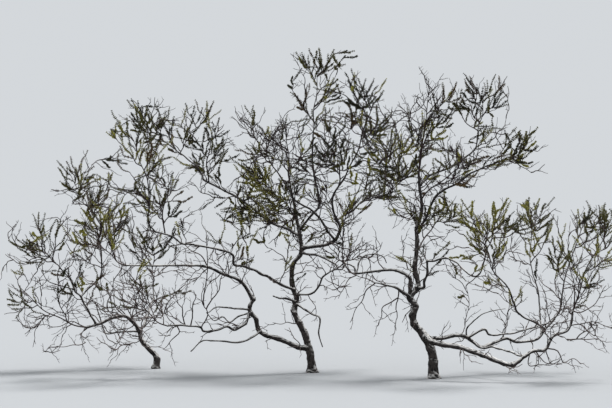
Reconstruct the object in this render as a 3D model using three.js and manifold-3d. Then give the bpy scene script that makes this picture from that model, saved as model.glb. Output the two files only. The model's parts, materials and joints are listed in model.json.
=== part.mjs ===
// A shrubby acacia of dry grassland: three gnarled grey stems from one root, low sprawling boughs,
// and an open, see-through crown of fine twigs set with upright leafy shoots.
// Millimetres, +Z up. The origin is the flat cut under the centre stem, at ground level.
// The front view looks along +Y. Left and right are as seen from there.
import * as THREE from 'three';
import { mergeVertices } from 'three/addons/utils/BufferGeometryUtils.js';
import Module from 'manifold-3d';

const wasm = await Module();
wasm.setup();

// Driving sizes
const viewDistance = 16000; // the paths below are read off a view from this far in front
const eyeHeight = 1300;
const eyeAcross = -54;
const gap = 0.3; // left between solids that meet
const clearance = 14; // least room between a twig and a limb that it passes
const groundRoom = 60; // no twig comes lower than this
const stemThick = 16; // the most that a mass's stem is at its root
const roomMargin = 17; // kept free on each side between two masses
const twigLift = 0.5; // how strongly a side twig turns upward
const shootLift = 0.8; // how strongly a shoot turns upward
const tries = 3; // directions tried for each shoot
// Radius along a shoot, as pairs of a place from 0 to 1 and the radius there
const leafyProfile = [[0, 0], [0.3, 15], [1, 0]];
const bareProfile = [[0, 1.9], [1, 0]];
const leafyTwigProfile = [[0, 0], [0.04, 5.5], [0.6, 4], [0.76, 15], [1, 0]];
const bareTwigProfile = [[0, 0], [0.04, 5.5], [0.6, 3.5], [1, 0]];
const flareHeight = 80; // how fast the root flare dies away
const flareShare = 0.55; // how much wider a stem is at the ground
const flareLobes = 5;
const knuckleShare = 0.07; // a limb swells by this much at each elbow

// Limbs. A path is [across, up, back]: where a point shows in the front view, and how far behind
// the centre stem it stands. A limb with a parent springs from the nearest point of that parent.
// thick is the diameter at the limb's two ends.
const limbs = {
  centre_stem: {
    thick: [74, 20], stem: true,
    path: [[10, -80, 0], [0, 0, 0], [-20, 180, 0], [-70, 340, 0], [-125, 450, 0], [-155, 550, 0],
      [-135, 680, -10], [-170, 790, -10], [-175, 980, 0], [-95, 1080, 10], [-100, 1225, 20],
      [-125, 1340, 40], [-155, 1485, 60], [-190, 1650, 80]],
  },
  high_left_bough: {
    parent: 'centre_stem', thick: [30, 17],
    path: [[-100, 1225], [-200, 1280, 110], [-380, 1365, 260], [-665, 1570, 480], [-980, 1735, 680]],
  },
  high_left_reach: {
    parent: 'high_left_bough', thick: [16, 10],
    path: [[-980, 1735], [-1010, 1825, 720], [-1120, 1920, 790], [-1300, 2060, 860]],
  },
  right_fork_bough: {
    parent: 'centre_stem', thick: [33, 15],
    path: [[-90, 1120], [55, 1140, -60], [190, 1170, -140], [250, 1280, -180], [215, 1380, -220],
      [185, 1475, -250], [190, 1595, -280], [300, 1760, -320]],
  },
  spire_bough: {
    parent: 'centre_stem', thick: [24, 12],
    path: [[-105, 1290], [10, 1430, 0], [70, 1510, 10], [50, 1630, 10], [15, 1800, 10],
      [5, 1980, 20], [10, 2150, 30]],
  },
  crossing_bough: {
    parent: 'right_fork_bough', thick: [22, 13],
    path: [[205, 1190], [110, 1320, -260], [25, 1440, -340], [-145, 1540, -450], [-205, 1635, -500],
      [-295, 1780, -560]],
  },
  arching_right_bough: {
    parent: 'right_fork_bough', thick: [20, 12],
    path: [[225, 1370], [365, 1460, -60], [460, 1540, 120], [595, 1580, 320], [705, 1590, 450]],
  },
  front_left_arm: {
    parent: 'centre_stem', thick: [27, 14],
    path: [[-165, 740], [-280, 795, -130], [-460, 890, -280], [-600, 950, -400], [-700, 975, -480],
      [-720, 1060, -510], [-820, 1100, -580], [-1070, 1150, -720], [-1165, 1160, -760],
      [-1265, 1225, -800], [-1420, 1270, -850]],
  },
  left_crown_bough: {
    parent: 'front_left_arm', thick: [14, 11],
    path: [[-1420, 1270], [-1475, 1360, -880], [-1465, 1480, -900], [-1470, 1640, -920]],
  },
  low_left_limb: {
    parent: 'centre_stem', thick: [46, 36],
    path: [[-30, 230], [-140, 235, -70], [-295, 305, -120], [-410, 340, -150], [-475, 385, -170],
      [-500, 475, -180], [-555, 540, -180], [-560, 600, -180], [-520, 665, -175]],
  },
  mid_left_bough: {
    parent: 'low_left_limb', thick: [35, 13],
    path: [[-520, 665], [-630, 810, -190], [-810, 890, -230], [-955, 950, -280], [-1120, 965, -340],
      [-1460, 960, -420], [-1690, 965, -460]],
  },
  low_left_arm: {
    parent: 'low_left_limb', thick: [28, 14],
    path: [[-555, 540], [-610, 440, -240], [-690, 390, -300], [-765, 415, -340], [-855, 380, -390],
      [-970, 370, -440], [-1015, 410, -460], [-1210, 425, -520], [-1305, 420, -550]],
  },
  centre_hook: {
    parent: 'centre_stem', thick: [20, 12],
    path: [[-135, 700], [-10, 710, -110], [60, 775, -170], [105, 870, -210], [200, 920, -250],
      [265, 925, -270]],
  },
  right_stem: {
    thick: [84, 19], stem: true,
    path: [[1090, -130, -640], [1090, -55, -640], [1080, 90, -640], [1065, 210, -640],
      [1010, 325, -640], [935, 425, -640], [925, 510, -640], [945, 600, -640], [885, 680, -635],
      [955, 760, -630], [950, 865, -620], [930, 970, -610], [950, 1190, -590], [950, 1295, -580],
      [988, 1470, -560], [970, 1680, -540], [960, 1800, -520]],
  },
  left_arm: {
    parent: 'right_stem', thick: [38, 14],
    path: [[885, 680], [878, 785, -660], [868, 860, -660], [790, 905, -640], [665, 925, -600],
      [520, 905, -550], [395, 890, -510], [335, 905, -490]],
  },
  hooked_rise: {
    parent: 'right_stem', thick: [25, 20],
    path: [[955, 755], [1010, 765, -665], [1012, 830, -690], [1035, 900, -710], [1035, 1010, -730]],
  },
  hooked_reach: {
    parent: 'hooked_rise', thick: [19, 11],
    path: [[1035, 1010], [1090, 1005, -760], [1195, 1030, -830], [1295, 995, -900], [1410, 885, -960],
      [1495, 875, -1010], [1545, 990, -1040], [1575, 1110, -1060]],
  },
  left_spur: {
    parent: 'right_stem', thick: [34, 10],
    path: [[900, 665], [810, 725, -700], [745, 765, -740], [655, 790, -790], [560, 810, -830]],
  },
  low_upper_arm: {
    parent: 'right_stem', thick: [38, 17],
    path: [[1005, 330], [1085, 310, -570], [1230, 325, -470], [1380, 320, -360], [1505, 240, -260],
      [1600, 250, -190], [1730, 310, -100], [1830, 275, -30], [2010, 300, 60], [2095, 390, 100],
      [2165, 465, 130], [2230, 560, 150], [2240, 650, 160]],
  },
  curving_riser: {
    parent: 'low_upper_arm', thick: [20, 12],
    path: [[2095, 390], [2000, 455, 0], [1875, 515, -60], [1820, 610, -110], [1780, 720, -150],
      [1745, 790, -180], [1645, 890, -220]],
  },
  upright_riser: {
    parent: 'low_upper_arm', thick: [17, 11],
    path: [[2060, 340], [2055, 470, 180], [2045, 590, 230], [2030, 740, 260], [1985, 890, 290]],
  },
  low_lower_arm: {
    parent: 'right_stem', thick: [50, 37],
    path: [[1010, 310], [1085, 270, -730], [1190, 250, -780], [1295, 235, -830], [1430, 190, -890],
      [1520, 160, -930], [1630, 120, -970], [1735, 75, -1000], [1810, 65, -1010]],
  },
  lower_arm_reach: {
    parent: 'low_lower_arm', thick: [35, 18],
    path: [[1810, 65], [1870, 110, -1010], [1925, 145, -1000], [2000, 190, -980], [2095, 205, -960],
      [2140, 280, -940], [2185, 335, -920], [2290, 375, -880], [2335, 465, -860], [2345, 555, -850]],
  },
  right_upper_bough: {
    parent: 'right_stem', thick: [21, 12],
    path: [[970, 1690], [1065, 1770, -420], [1250, 1850, -220], [1375, 1935, -80], [1470, 2010, 10],
      [1490, 2110, 50]],
  },
  right_thin_bough: {
    parent: 'right_stem', thick: [24, 11],
    path: [[950, 1260], [1040, 1425, -660], [1105, 1570, -740], [1190, 1650, -810], [1310, 1700, -890],
      [1415, 1785, -960], [1555, 1850, -1040], [1655, 1885, -1090]],
  },
  left_stem: {
    thick: [54, 24], stem: true,
    path: [[-1400, -50, 460], [-1405, 36, 460], [-1400, 125, 460], [-1460, 210, 460],
      [-1525, 290, 460], [-1555, 385, 460], [-1630, 475, 430], [-1690, 515, 400], [-1775, 495, 370],
      [-1890, 445, 330], [-2035, 405, 280]],
  },
  left_riser: {
    parent: 'left_stem', thick: [21, 12],
    path: [[-1935, 430], [-2020, 565, 290], [-2080, 685, 280], [-2135, 735, 270], [-2170, 830, 250],
      [-2270, 945, 230]],
  },
  far_left_bough: {
    parent: 'left_riser', thick: [17, 12],
    path: [[-2080, 685], [-2000, 770, 340], [-1900, 875, 410], [-1900, 1090, 430], [-1930, 1260, 420]],
  },
  left_back_bough: {
    parent: 'left_stem', thick: [26, 12],
    path: [[-1545, 370], [-1495, 470, 560], [-1460, 575, 650], [-1425, 665, 730], [-1430, 775, 780]],
  },
};

// Masses of twigs and leafy shoots. Each has one stem, which goes on from the tip of its limb, or from
// the place given by at, as a share of the limb's length, and ends at tip. leafy is the share of its
// end shoots that bear leaves; the rest are bare twigs.
const masses = {
  top_foliage: { limb: 'spire_bough', tip: [55, 2740, 60], twigs: 6, spread: 360, shoot: 200, leafy: 0.9, seed: 50 },
  top_right_foliage: { limb: 'right_fork_bough', tip: [570, 2530, -400], twigs: 6, spread: 450, shoot: 200, leafy: 0.95, seed: 39 },
  mid_right_foliage: { limb: 'right_fork_bough', at: 0.93, tip: [235, 2110, -560], twigs: 6, spread: 360, shoot: 200, leafy: 0.7, seed: 55 },
  centre_twigs: { limb: 'centre_stem', tip: [-225, 2230, 220], twigs: 5, spread: 450, shoot: 200, leafy: 0.15, seed: 28 },
  left_tangle: { limb: 'crossing_bough', tip: [-560, 2190, -620], twigs: 6, spread: 260, shoot: 200, leafy: 0.3, seed: 52 },
  inner_left_foliage: { limb: 'centre_stem', at: 0.86, tip: [-520, 1800, -60], twigs: 7, spread: 270, shoot: 200, leafy: 0.95, seed: 53 },
  high_left_inner_foliage: { limb: 'high_left_bough', at: 0.96, tip: [-880, 2200, 560], twigs: 5, spread: 290, shoot: 200, leafy: 0.9, seed: 16 },
  high_left_foliage: { limb: 'high_left_reach', tip: [-1580, 2280, 900], twigs: 5, spread: 230, shoot: 200, leafy: 0.95, seed: 11 },
  high_left_back_foliage: { limb: 'high_left_reach', at: 0.8, tip: [-930, 2300, 1000], twigs: 5, spread: 200, shoot: 200, leafy: 0.9, seed: 45 },
  left_crown_foliage: { limb: 'left_crown_bough', tip: [-1640, 2150, -960], twigs: 6, spread: 330, shoot: 200, leafy: 0.9, seed: 33 },
  left_mid_foliage: { limb: 'front_left_arm', at: 0.94, tip: [-1250, 1740, -700], twigs: 6, spread: 260, shoot: 200, leafy: 0.7, seed: 7 },
  far_left_foliage: { limb: 'far_left_bough', tip: [-2190, 1800, 400], twigs: 5, spread: 290, shoot: 200, leafy: 0.95, seed: 20 },
  left_low_foliage: { limb: 'mid_left_bough', tip: [-1960, 1270, -420], twigs: 4, spread: 450, shoot: 200, leafy: 0.95, seed: 5 },
  far_left_low_foliage: { limb: 'left_riser', tip: [-2440, 1110, 200], twigs: 4, spread: 450, shoot: 200, leafy: 0.9, seed: 55 },
  left_far_twigs: { limb: 'left_stem', tip: [-2640, 780, 120], twigs: 3, spread: 400, shoot: 200, leafy: 0.4, seed: 52 },
  left_back_foliage: { limb: 'left_back_bough', tip: [-1420, 1200, 880], twigs: 3, spread: 450, shoot: 200, leafy: 0.5, seed: 37 },
  low_left_twigs: { limb: 'low_left_arm', tip: [-1560, 640, -620], twigs: 3, spread: 450, shoot: 200, leafy: 0.15, seed: 27 },
  centre_low_twigs: { limb: 'centre_hook', tip: [330, 1180, -380], twigs: 3, spread: 260, shoot: 200, leafy: 0.1, seed: 7 },
  mid_upright_foliage: { limb: 'left_arm', tip: [420, 1640, -560], twigs: 4, spread: 430, shoot: 200, leafy: 0.5, seed: 19 },
  right_inner_foliage: { limb: 'arching_right_bough', tip: [680, 2080, 500], twigs: 7, spread: 450, shoot: 200, leafy: 0.95, seed: 29 },
  right_bare_spire: { limb: 'right_stem', at: 0.97, tip: [1060, 2560, -700], twigs: 4, spread: 270, shoot: 200, leafy: 0, seed: 43 },
  right_crown_foliage: { limb: 'right_stem', tip: [1200, 2500, -440], twigs: 6, spread: 310, shoot: 200, leafy: 0.95, seed: 24 },
  right_peak_foliage: { limb: 'right_upper_bough', tip: [1560, 2540, 80], twigs: 5, spread: 370, shoot: 200, leafy: 0.9, seed: 16 },
  far_right_crown_foliage: { limb: 'right_thin_bough', tip: [1960, 2010, -1160], twigs: 6, spread: 230, shoot: 200, leafy: 0.9, seed: 1 },
  right_mid_twigs: { limb: 'right_stem', at: 0.9, tip: [1420, 1880, -640], twigs: 5, spread: 390, shoot: 200, leafy: 0.3, seed: 22 },
  right_back_foliage: { limb: 'right_stem', at: 0.72, tip: [1240, 1450, -60], twigs: 4, spread: 310, shoot: 200, leafy: 0.8, seed: 22 },
  hooked_foliage: { limb: 'hooked_reach', tip: [1700, 1370, -1130], twigs: 4, spread: 450, shoot: 200, leafy: 0.95, seed: 6 },
  curving_foliage: { limb: 'curving_riser', tip: [1560, 1260, -300], twigs: 4, spread: 320, shoot: 200, leafy: 0.9, seed: 29 },
  upright_foliage: { limb: 'upright_riser', tip: [1980, 1460, 340], twigs: 4, spread: 340, shoot: 200, leafy: 0.9, seed: 17 },
  far_right_foliage: { limb: 'low_upper_arm', tip: [2460, 1400, 120], twigs: 4, spread: 450, shoot: 200, leafy: 0.8, seed: 11 },
  right_edge_foliage: { limb: 'lower_arm_reach', tip: [2700, 1350, -820], twigs: 4, spread: 450, shoot: 200, leafy: 0.85, seed: 26 },
};

const colours = {
  bark: new THREE.MeshStandardMaterial({ name: 'bark', color: 0x6b625c, roughness: 0.9, metalness: 0 }),
  leafy: new THREE.MeshStandardMaterial({ name: 'leafy', color: 0x5f6338, roughness: 0.75, metalness: 0 }),
  twigs: new THREE.MeshStandardMaterial({ name: 'twigs', color: 0x6e5344, roughness: 0.85, metalness: 0 }),
};

const up = new THREE.Vector3(0, 0, 1);
const eye = new THREE.Vector3(eyeAcross, -viewDistance, eyeHeight);

// A point of the front view, moved back along the line of sight.
function place([across, height, back = 0]) {
  return new THREE.Vector3(across, 0, height).sub(eye).multiplyScalar(1 + back / viewDistance).add(eye);
}

// Where a point shows in the front view.
function seen(point) {
  return point.clone().sub(eye).multiplyScalar(viewDistance / (point.y - eye.y)).add(eye);
}

// A repeatable run of numbers from 0 to 1.
function stream(seed) {
  let state = (seed * 7919 + 12345) % 4294967296;
  return () => {
    state = (state * 1664525 + 1013904223) % 4294967296;
    return state / 4294967296;
  };
}

// Points along a curve, each with two directions across it that turn as little as they can.
function ringsAlong(curve, places) {
  let across = new THREE.Vector3(0, 1, 0);
  return places.map((t) => {
    const along = tangentAt(curve, t);
    across = across.clone().addScaledVector(along, -across.dot(along)).normalize();
    const other = new THREE.Vector3().crossVectors(across, along);
    return { t, point: curve.getPoint(t), along, across, other };
  });
}

function tangentAt(curve, t) {
  const step = 0.01;
  const ahead = curve.getPoint(Math.min(t + step, 1));
  return ahead.sub(curve.getPoint(Math.max(t - step, 0))).normalize();
}

// A closed tube through its rings. A radius of zero makes a point.
function tube(rings, sides, radiusAt, grow = 0) {
  const last = rings.length - 1;
  const geometry = new THREE.CylinderGeometry(1, 1, 1, sides, last);
  const { position } = geometry.attributes;
  for (let i = 0; i < position.count; i += 1) {
    const index = Math.round((position.getY(i) + 0.5) * last);
    const ring = rings[index];
    const cos = position.getX(i);
    const sin = position.getZ(i);
    const radius = radiusAt(ring.t, ring.point, Math.atan2(sin, cos)) + grow;
    const vertex = ring.point.clone().addScaledVector(ring.across, cos * radius)
      .addScaledVector(ring.other, sin * radius);
    if (index === 0) vertex.addScaledVector(ring.along, -grow);
    if (index === last) vertex.addScaledVector(ring.along, grow);
    position.setXYZ(i, vertex.x, vertex.y, vertex.z);
  }
  return solidFrom(geometry);
}

// A closed solid from a geometry, with its shared vertices merged and its empty triangles left out.
function solidFrom(geometry) {
  geometry.deleteAttribute('normal');
  geometry.deleteAttribute('uv');
  const merged = mergeVertices(geometry, 0.001);
  const kept = [];
  const all = merged.index.array;
  for (let i = 0; i < all.length; i += 3) {
    const [a, b, c] = [all[i], all[i + 1], all[i + 2]];
    if (a !== b && b !== c && c !== a) kept.push(a, b, c);
  }
  return new wasm.Manifold(new wasm.Mesh({
    numProp: 3,
    vertProperties: new Float32Array(merged.attributes.position.array),
    triVerts: new Uint32Array(kept),
  }));
}

function geometryFrom(solid) {
  const mesh = solid.getMesh();
  const geometry = new THREE.BufferGeometry();
  geometry.setAttribute('position', new THREE.BufferAttribute(new Float32Array(mesh.vertProperties), 3));
  geometry.setIndex(new THREE.BufferAttribute(new Uint32Array(mesh.triVerts), 1));
  return geometry;
}

// The main body of a solid: loose scraps and sealed hollows are left out.
function mainBody(solid) {
  return solid.decompose().reduce((best, piece) => (piece.volume() > best.volume() ? piece : best));
}

// The curve of a limb, from inside its parent to its tip.
function limbCurve(limb) {
  const points = limb.path.map(place);
  if (limb.parent) {
    const parent = limbs[limb.parent];
    const at = nearestInView(parent.curve, limb.path[0]);
    points[0] = parent.curve.getPoint(at);
    if (at > 0.97) points[0].addScaledVector(tangentAt(parent.curve, 1), -parent.thick[1] * 0.3);
  }
  return new THREE.CatmullRomCurve3(points, false, 'catmullrom', 0.5);
}

// How far along a curve it comes nearest to a place in the front view.
function nearestInView(curve, [across, height]) {
  const samples = 200;
  let best = 0;
  let least = Infinity;
  for (let i = 0; i <= samples; i += 1) {
    const point = seen(curve.getPoint(i / samples));
    const distance = Math.hypot(point.x - across, point.z - height);
    if (distance < least) [least, best] = [distance, i / samples];
  }
  return best;
}

// The radius of a limb: an even taper, a knuckle at each elbow, and a lobed flare at a stem's foot.
function limbRadius(limb) {
  const spans = limb.path.length - 1;
  return (t, point, angle) => {
    const even = THREE.MathUtils.lerp(limb.thick[0], limb.thick[1], t) / 2;
    const knuckle = 1 + knuckleShare * Math.cos(2 * Math.PI * t * spans);
    if (!limb.stem) return even * knuckle;
    const flare = flareShare * Math.exp(-Math.max(point.z, 0) / flareHeight);
    return even * knuckle * (1 + flare * (1 + 0.35 * Math.cos(flareLobes * angle)));
  };
}

// A shoot: a bent line through a few joints, each at its place from 0 to 1 with the radius there.
function shootAlong(curve, profile, sides, length, owner = null) {
  const joints = profile.map(([t, radius]) => ({ t, radius, point: curve.getPoint(t) }));
  return { joints, sides, length, owner };
}

// The point, radius and direction at a place on a shoot.
function shootAt(shoot, t) {
  const next = Math.max(1, shoot.joints.findIndex((joint) => joint.t >= t));
  const [from, to] = [shoot.joints[next - 1], shoot.joints[next]];
  const share = (t - from.t) / (to.t - from.t);
  return {
    t,
    point: from.point.clone().lerp(to.point, share),
    radius: THREE.MathUtils.lerp(from.radius, to.radius, share),
    along: to.point.clone().sub(from.point).normalize(),
  };
}

// The rings of a shoot lie square to its chord, so that all its faces are flat.
function shootRings(shoot) {
  const { joints } = shoot;
  const along = joints[joints.length - 1].point.clone().sub(joints[0].point).normalize();
  const reference = Math.abs(along.z) > 0.9 ? new THREE.Vector3(0, 1, 0) : up;
  const across = new THREE.Vector3().crossVectors(along, reference).normalize();
  const other = new THREE.Vector3().crossVectors(across, along);
  return joints.map(({ t, point }) => ({ t, point, along, across, other }));
}

// Directions out of the middle of each face of a shoot, the most upright first.
function facesOf(shoot) {
  const [ring] = shootRings(shoot);
  const directions = Array.from({ length: shoot.sides }, (_, k) => {
    const angle = Math.PI / 2 + (k + 0.5) * 2 * Math.PI / shoot.sides;
    return ring.across.clone().multiplyScalar(Math.cos(angle)).addScaledVector(ring.other, Math.sin(angle));
  });
  return directions.sort((a, b) => b.z - a.z);
}

// A shoot that leaves another by the middle of a face, then lifts.
function sideShoot(owner, t, face, open, length, lift, profile) {
  const start = shootAt(owner, t);
  const heading = start.along.multiplyScalar(Math.cos(open))
    .addScaledVector(facesOf(owner)[face % owner.sides], Math.sin(open)).normalize();
  const middle = start.point.clone().addScaledVector(heading, length * 0.4);
  const end = middle.clone().addScaledVector(heading.addScaledVector(up, lift).normalize(), length * 0.6);
  const curve = new THREE.QuadraticBezierCurve3(start.point, middle, end);
  return shootAlong(curve, profile, 3, length, owner);
}

// The stem of a mass, which goes on from its limb and bends to its tip.
function massStem(mass) {
  const limb = limbs[mass.limb];
  const at = mass.at ?? 1;
  const start = limb.curve.getPoint(at);
  const along = tangentAt(limb.curve, at);
  const limbThick = THREE.MathUtils.lerp(limb.thick[0], limb.thick[1], at);
  if (at === 1) start.addScaledVector(along, -limbThick * 0.3);
  const tip = place(mass.tip);
  const length = start.distanceTo(tip);
  const outward = tip.clone().sub(start).normalize();
  const heading = along.multiplyScalar(at === 1 ? 1 : 0.4).add(outward).normalize();
  const curve = new THREE.QuadraticBezierCurve3(start, start.clone().addScaledVector(heading, length * 0.45), tip);
  const thick = Math.min(limbThick, stemThick) * 0.92 / 2;
  return shootAlong(curve, [[0, thick], [0.35, thick * 0.8], [0.7, thick * 0.6], [1, 2.5]], 4, length);
}

// Keeps a shoot that stays in its mass's own room, above the ground, and clear of limbs and of the
// shoots already there. Its root isn't tested, nor its lower third against its owner.
function fits(shoot, mass, kept) {
  const mine = shoot.beads.slice(1);
  if (mine.some(({ point }) => point.z < groundRoom || !inRoom(point, mass))) return false;
  if (mass.obstacles.some((other) => touches(mine, other, clearance))) return false;
  const upper = mine.filter(({ t }) => t > 0.33);
  return !kept.some((other) => touches(other === shoot.owner ? upper : mine, other.beads, 1));
}

// The seeded rule: one stem, side twigs round it in turn, and side shoots on each twig and on the
// stem's end. A shoot that doesn't fit is tried again in another direction, then left out.
function growMass(mass) {
  const draw = stream(mass.seed);
  const kept = [mass.stem];
  const tryShoot = (make) => {
    for (let attempt = 0; attempt < tries; attempt += 1) {
      const shoot = make();
      shoot.beads = beads((t) => shootAt(shoot, t), shoot.length, 20);
      if (fits(shoot, mass, kept)) {
        kept.push(shoot);
        return shoot;
      }
    }
    return null;
  };
  const addShoots = (owner, count, from, to) => {
    for (let j = 0; j < count; j += 1) {
      tryShoot(() => {
        const t = from + (to - from) * (j + draw()) / count;
        const face = j + Math.floor(2 * draw());
        const open = 0.6 + 0.4 * draw();
        const length = mass.shoot * (0.7 + 0.6 * draw());
        const profile = draw() < mass.leafy ? leafyProfile : bareProfile;
        return sideShoot(owner, t, face, open, length, shootLift, profile);
      });
    }
  };
  for (let i = 0; i < mass.twigs; i += 1) {
    const twig = tryShoot(() => {
      const t = 0.15 + 0.75 * (i + draw()) / mass.twigs;
      const face = i + Math.floor(2 * draw());
      const open = 0.8 + 0.4 * draw();
      const length = mass.spread * (1.15 - 0.45 * t) * (0.8 + 0.4 * draw());
      const profile = draw() < mass.leafy ? leafyTwigProfile : bareTwigProfile;
      return sideShoot(mass.stem, t, face, open, length, twigLift, profile);
    });
    if (twig) addShoots(twig, 3, 0.16, 0.58);
  }
  addShoots(mass.stem, 4, 0.72, 0.99);
  return kept;
}

// Points along a line, about one per spacing, each with the radius there.
function beads(pointAt, length, spacing) {
  const count = Math.max(2, Math.ceil(length / spacing));
  return Array.from({ length: count + 1 }, (_, i) => pointAt(i / count));
}

function touches(mine, theirs, room) {
  return mine.some((a) => theirs.some((b) => a.point.distanceTo(b.point) < a.radius + b.radius + room));
}

// The room of a mass is all that is nearer to its middle than to another's, less a margin.
function inRoom(point, mass) {
  return mass.others.every((other) => {
    const apart = other.distanceTo(mass.middle);
    const beyond = point.distanceToSquared(other) - point.distanceToSquared(mass.middle);
    return beyond / (2 * apart) > roomMargin;
  });
}

function shootSolid(shoot) {
  return tube(shootRings(shoot), shoot.sides, (t) => shootAt(shoot, t).radius);
}

// Cuts a solid clear of the limbs made before it.
function clearOf(solid, limbsBefore) {
  return limbsBefore.reduce((left, limb) => left.subtract(limb), solid);
}

// Building
const ground = solidFrom(new THREE.BoxGeometry(8000, 8000, 400).translate(0, 0, -200));
const plant = new THREE.Group();
const limbsDone = [];

function addNode(name, solid, material) {
  const mesh = new THREE.Mesh(geometryFrom(mainBody(solid)), material);
  mesh.name = name;
  plant.add(mesh);
}

for (const [name, limb] of Object.entries(limbs)) {
  limb.curve = limbCurve(limb);
  const [thickest] = limb.thick;
  const sides = 4 + [30, 45, 70].filter((least) => thickest > least).length;
  const steps = (limb.path.length - 1) * 2;
  const rings = ringsAlong(limb.curve, Array.from({ length: steps + 1 }, (_, i) => i / steps));
  limb.solid = tube(rings, sides, limbRadius(limb));
  limb.grown = tube(rings, sides, limbRadius(limb), gap);
  limb.beads = beads((t) => {
    const point = limb.curve.getPoint(t);
    return { point, radius: limbRadius(limb)(t, point, 0) };
  }, limb.curve.getLength(), 12);
  if (limb.stem) limb.solid = limb.solid.subtract(ground);
  limb.solid = clearOf(limb.solid, limbsDone);
  limbsDone.push(limb.grown);
  addNode(name, limb.solid, colours.bark);
}

for (const mass of Object.values(masses)) {
  mass.stem = massStem(mass);
  mass.stem.beads = beads((t) => shootAt(mass.stem, t), mass.stem.length, 12);
  mass.middle = shootAt(mass.stem, 0.6).point;
}
for (const [name, mass] of Object.entries(masses)) {
  const otherMasses = Object.values(masses).filter((other) => other !== mass);
  mass.others = otherMasses.map((other) => other.middle);
  mass.obstacles = otherMasses.map((other) => other.stem.beads).concat(Object.values(limbs).map((limb) => limb.beads));
  const solids = growMass(mass).map(shootSolid);
  const joined = clearOf(solids.reduce((whole, next) => whole.add(next)), limbsDone);
  addNode(name, joined, mass.leafy > 0.4 ? colours.leafy : colours.twigs);
}

export default plant;
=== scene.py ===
# A shrubby acacia, dressed with bark, fine twigs, thorns and leafy shoots.
# It grows by the rule of the part's solids, written again here, and goes on to finer twigs.
# The paths and the rule are in millimetres, and the meshes in metres.
import json
import math
import bpy
import numpy as np
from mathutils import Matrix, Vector, noise

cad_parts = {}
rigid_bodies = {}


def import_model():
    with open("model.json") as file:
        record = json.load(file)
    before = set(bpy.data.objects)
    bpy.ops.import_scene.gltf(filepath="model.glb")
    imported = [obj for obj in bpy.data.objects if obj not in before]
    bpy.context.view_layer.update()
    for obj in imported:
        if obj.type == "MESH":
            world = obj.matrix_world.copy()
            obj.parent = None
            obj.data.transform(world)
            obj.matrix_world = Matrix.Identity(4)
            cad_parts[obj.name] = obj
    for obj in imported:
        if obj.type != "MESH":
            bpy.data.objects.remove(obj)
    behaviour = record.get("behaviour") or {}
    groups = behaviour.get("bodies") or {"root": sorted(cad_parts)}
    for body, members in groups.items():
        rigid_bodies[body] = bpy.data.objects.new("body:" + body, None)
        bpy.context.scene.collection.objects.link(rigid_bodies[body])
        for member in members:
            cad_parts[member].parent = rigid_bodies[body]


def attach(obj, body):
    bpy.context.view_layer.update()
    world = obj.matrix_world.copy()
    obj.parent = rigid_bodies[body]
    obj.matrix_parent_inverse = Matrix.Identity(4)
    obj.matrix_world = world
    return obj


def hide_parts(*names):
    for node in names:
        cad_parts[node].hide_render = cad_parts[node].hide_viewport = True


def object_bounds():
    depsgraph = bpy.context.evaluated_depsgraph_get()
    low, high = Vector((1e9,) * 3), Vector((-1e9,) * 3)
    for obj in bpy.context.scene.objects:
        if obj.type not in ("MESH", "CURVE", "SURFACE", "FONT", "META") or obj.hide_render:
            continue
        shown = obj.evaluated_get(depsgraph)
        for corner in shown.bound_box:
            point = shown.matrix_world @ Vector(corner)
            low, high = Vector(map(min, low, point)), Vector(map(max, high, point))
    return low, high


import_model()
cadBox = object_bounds()

metre = 0.001  # metres in a millimetre
up = np.array([0.0, 0.0, 1.0])
fullTurn = 6.28

# The rule of the solids

viewValues = {"distance": 16000, "eyeHeight": 1300, "eyeAcross": -54}
ruleValues = {  # most pairs are the least, and how much more it may be
    "clearance": 14,  # least room between a twig and a limb that it passes
    "groundRoom": 60,
    "roomMargin": 17,  # kept free between two masses
    "rootPart": 0.33,  # of a shoot, which may touch the wood that it springs from
    "tries": 3,
    "stemThick": 16,
    "stemSlim": 0.92,  # of its limb's thickness
    "stemBend": 0.45,  # the place on a stem where it bends
    "joinDepth": 0.3,  # of the thickness, for what goes on from a tip
    "stemMiddle": 0.6,  # the place on its stem from which a mass's room is told
    "stemBeads": 12,
    "twigPlaces": (0.15, 0.75),
    "twigOpening": (0.8, 0.4),
    "twigSizes": (0.8, 0.4),
    "twigTaper": (1.15, 0.45),
    "twigLift": 0.5,
    "shootsOnTwig": (3, 0.16, 0.58),  # how many, and the first and last place
    "shootsOnStem": (4, 0.72, 0.99),
    "shoot": 200,
    "shootSizes": (0.7, 0.6),
    "shootOpening": (0.6, 0.4),
    "shootLift": 0.8,
    "straight": 0.4,  # of a shoot, before it lifts
    "knuckleShare": 0.07,
    "flareHeight": 80,
    "flareShare": 0.55,
    "flareLobes": 5,
    "lobeShare": 0.35,
}
leafyProfile = [[0, 0], [0.3, 15], [1, 0]]
bareProfile = [[0, 1.9], [1, 0]]
leafyTwigProfile = [[0, 0], [0.04, 5.5], [0.6, 4], [0.76, 15], [1, 0]]
bareTwigProfile = [[0, 0], [0.04, 5.5], [0.6, 3.5], [1, 0]]


def limbOf(parent, rootThick, tipThick, *path):
    return {"parent": parent, "thick": (rootThick, tipThick), "path": path}


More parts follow.
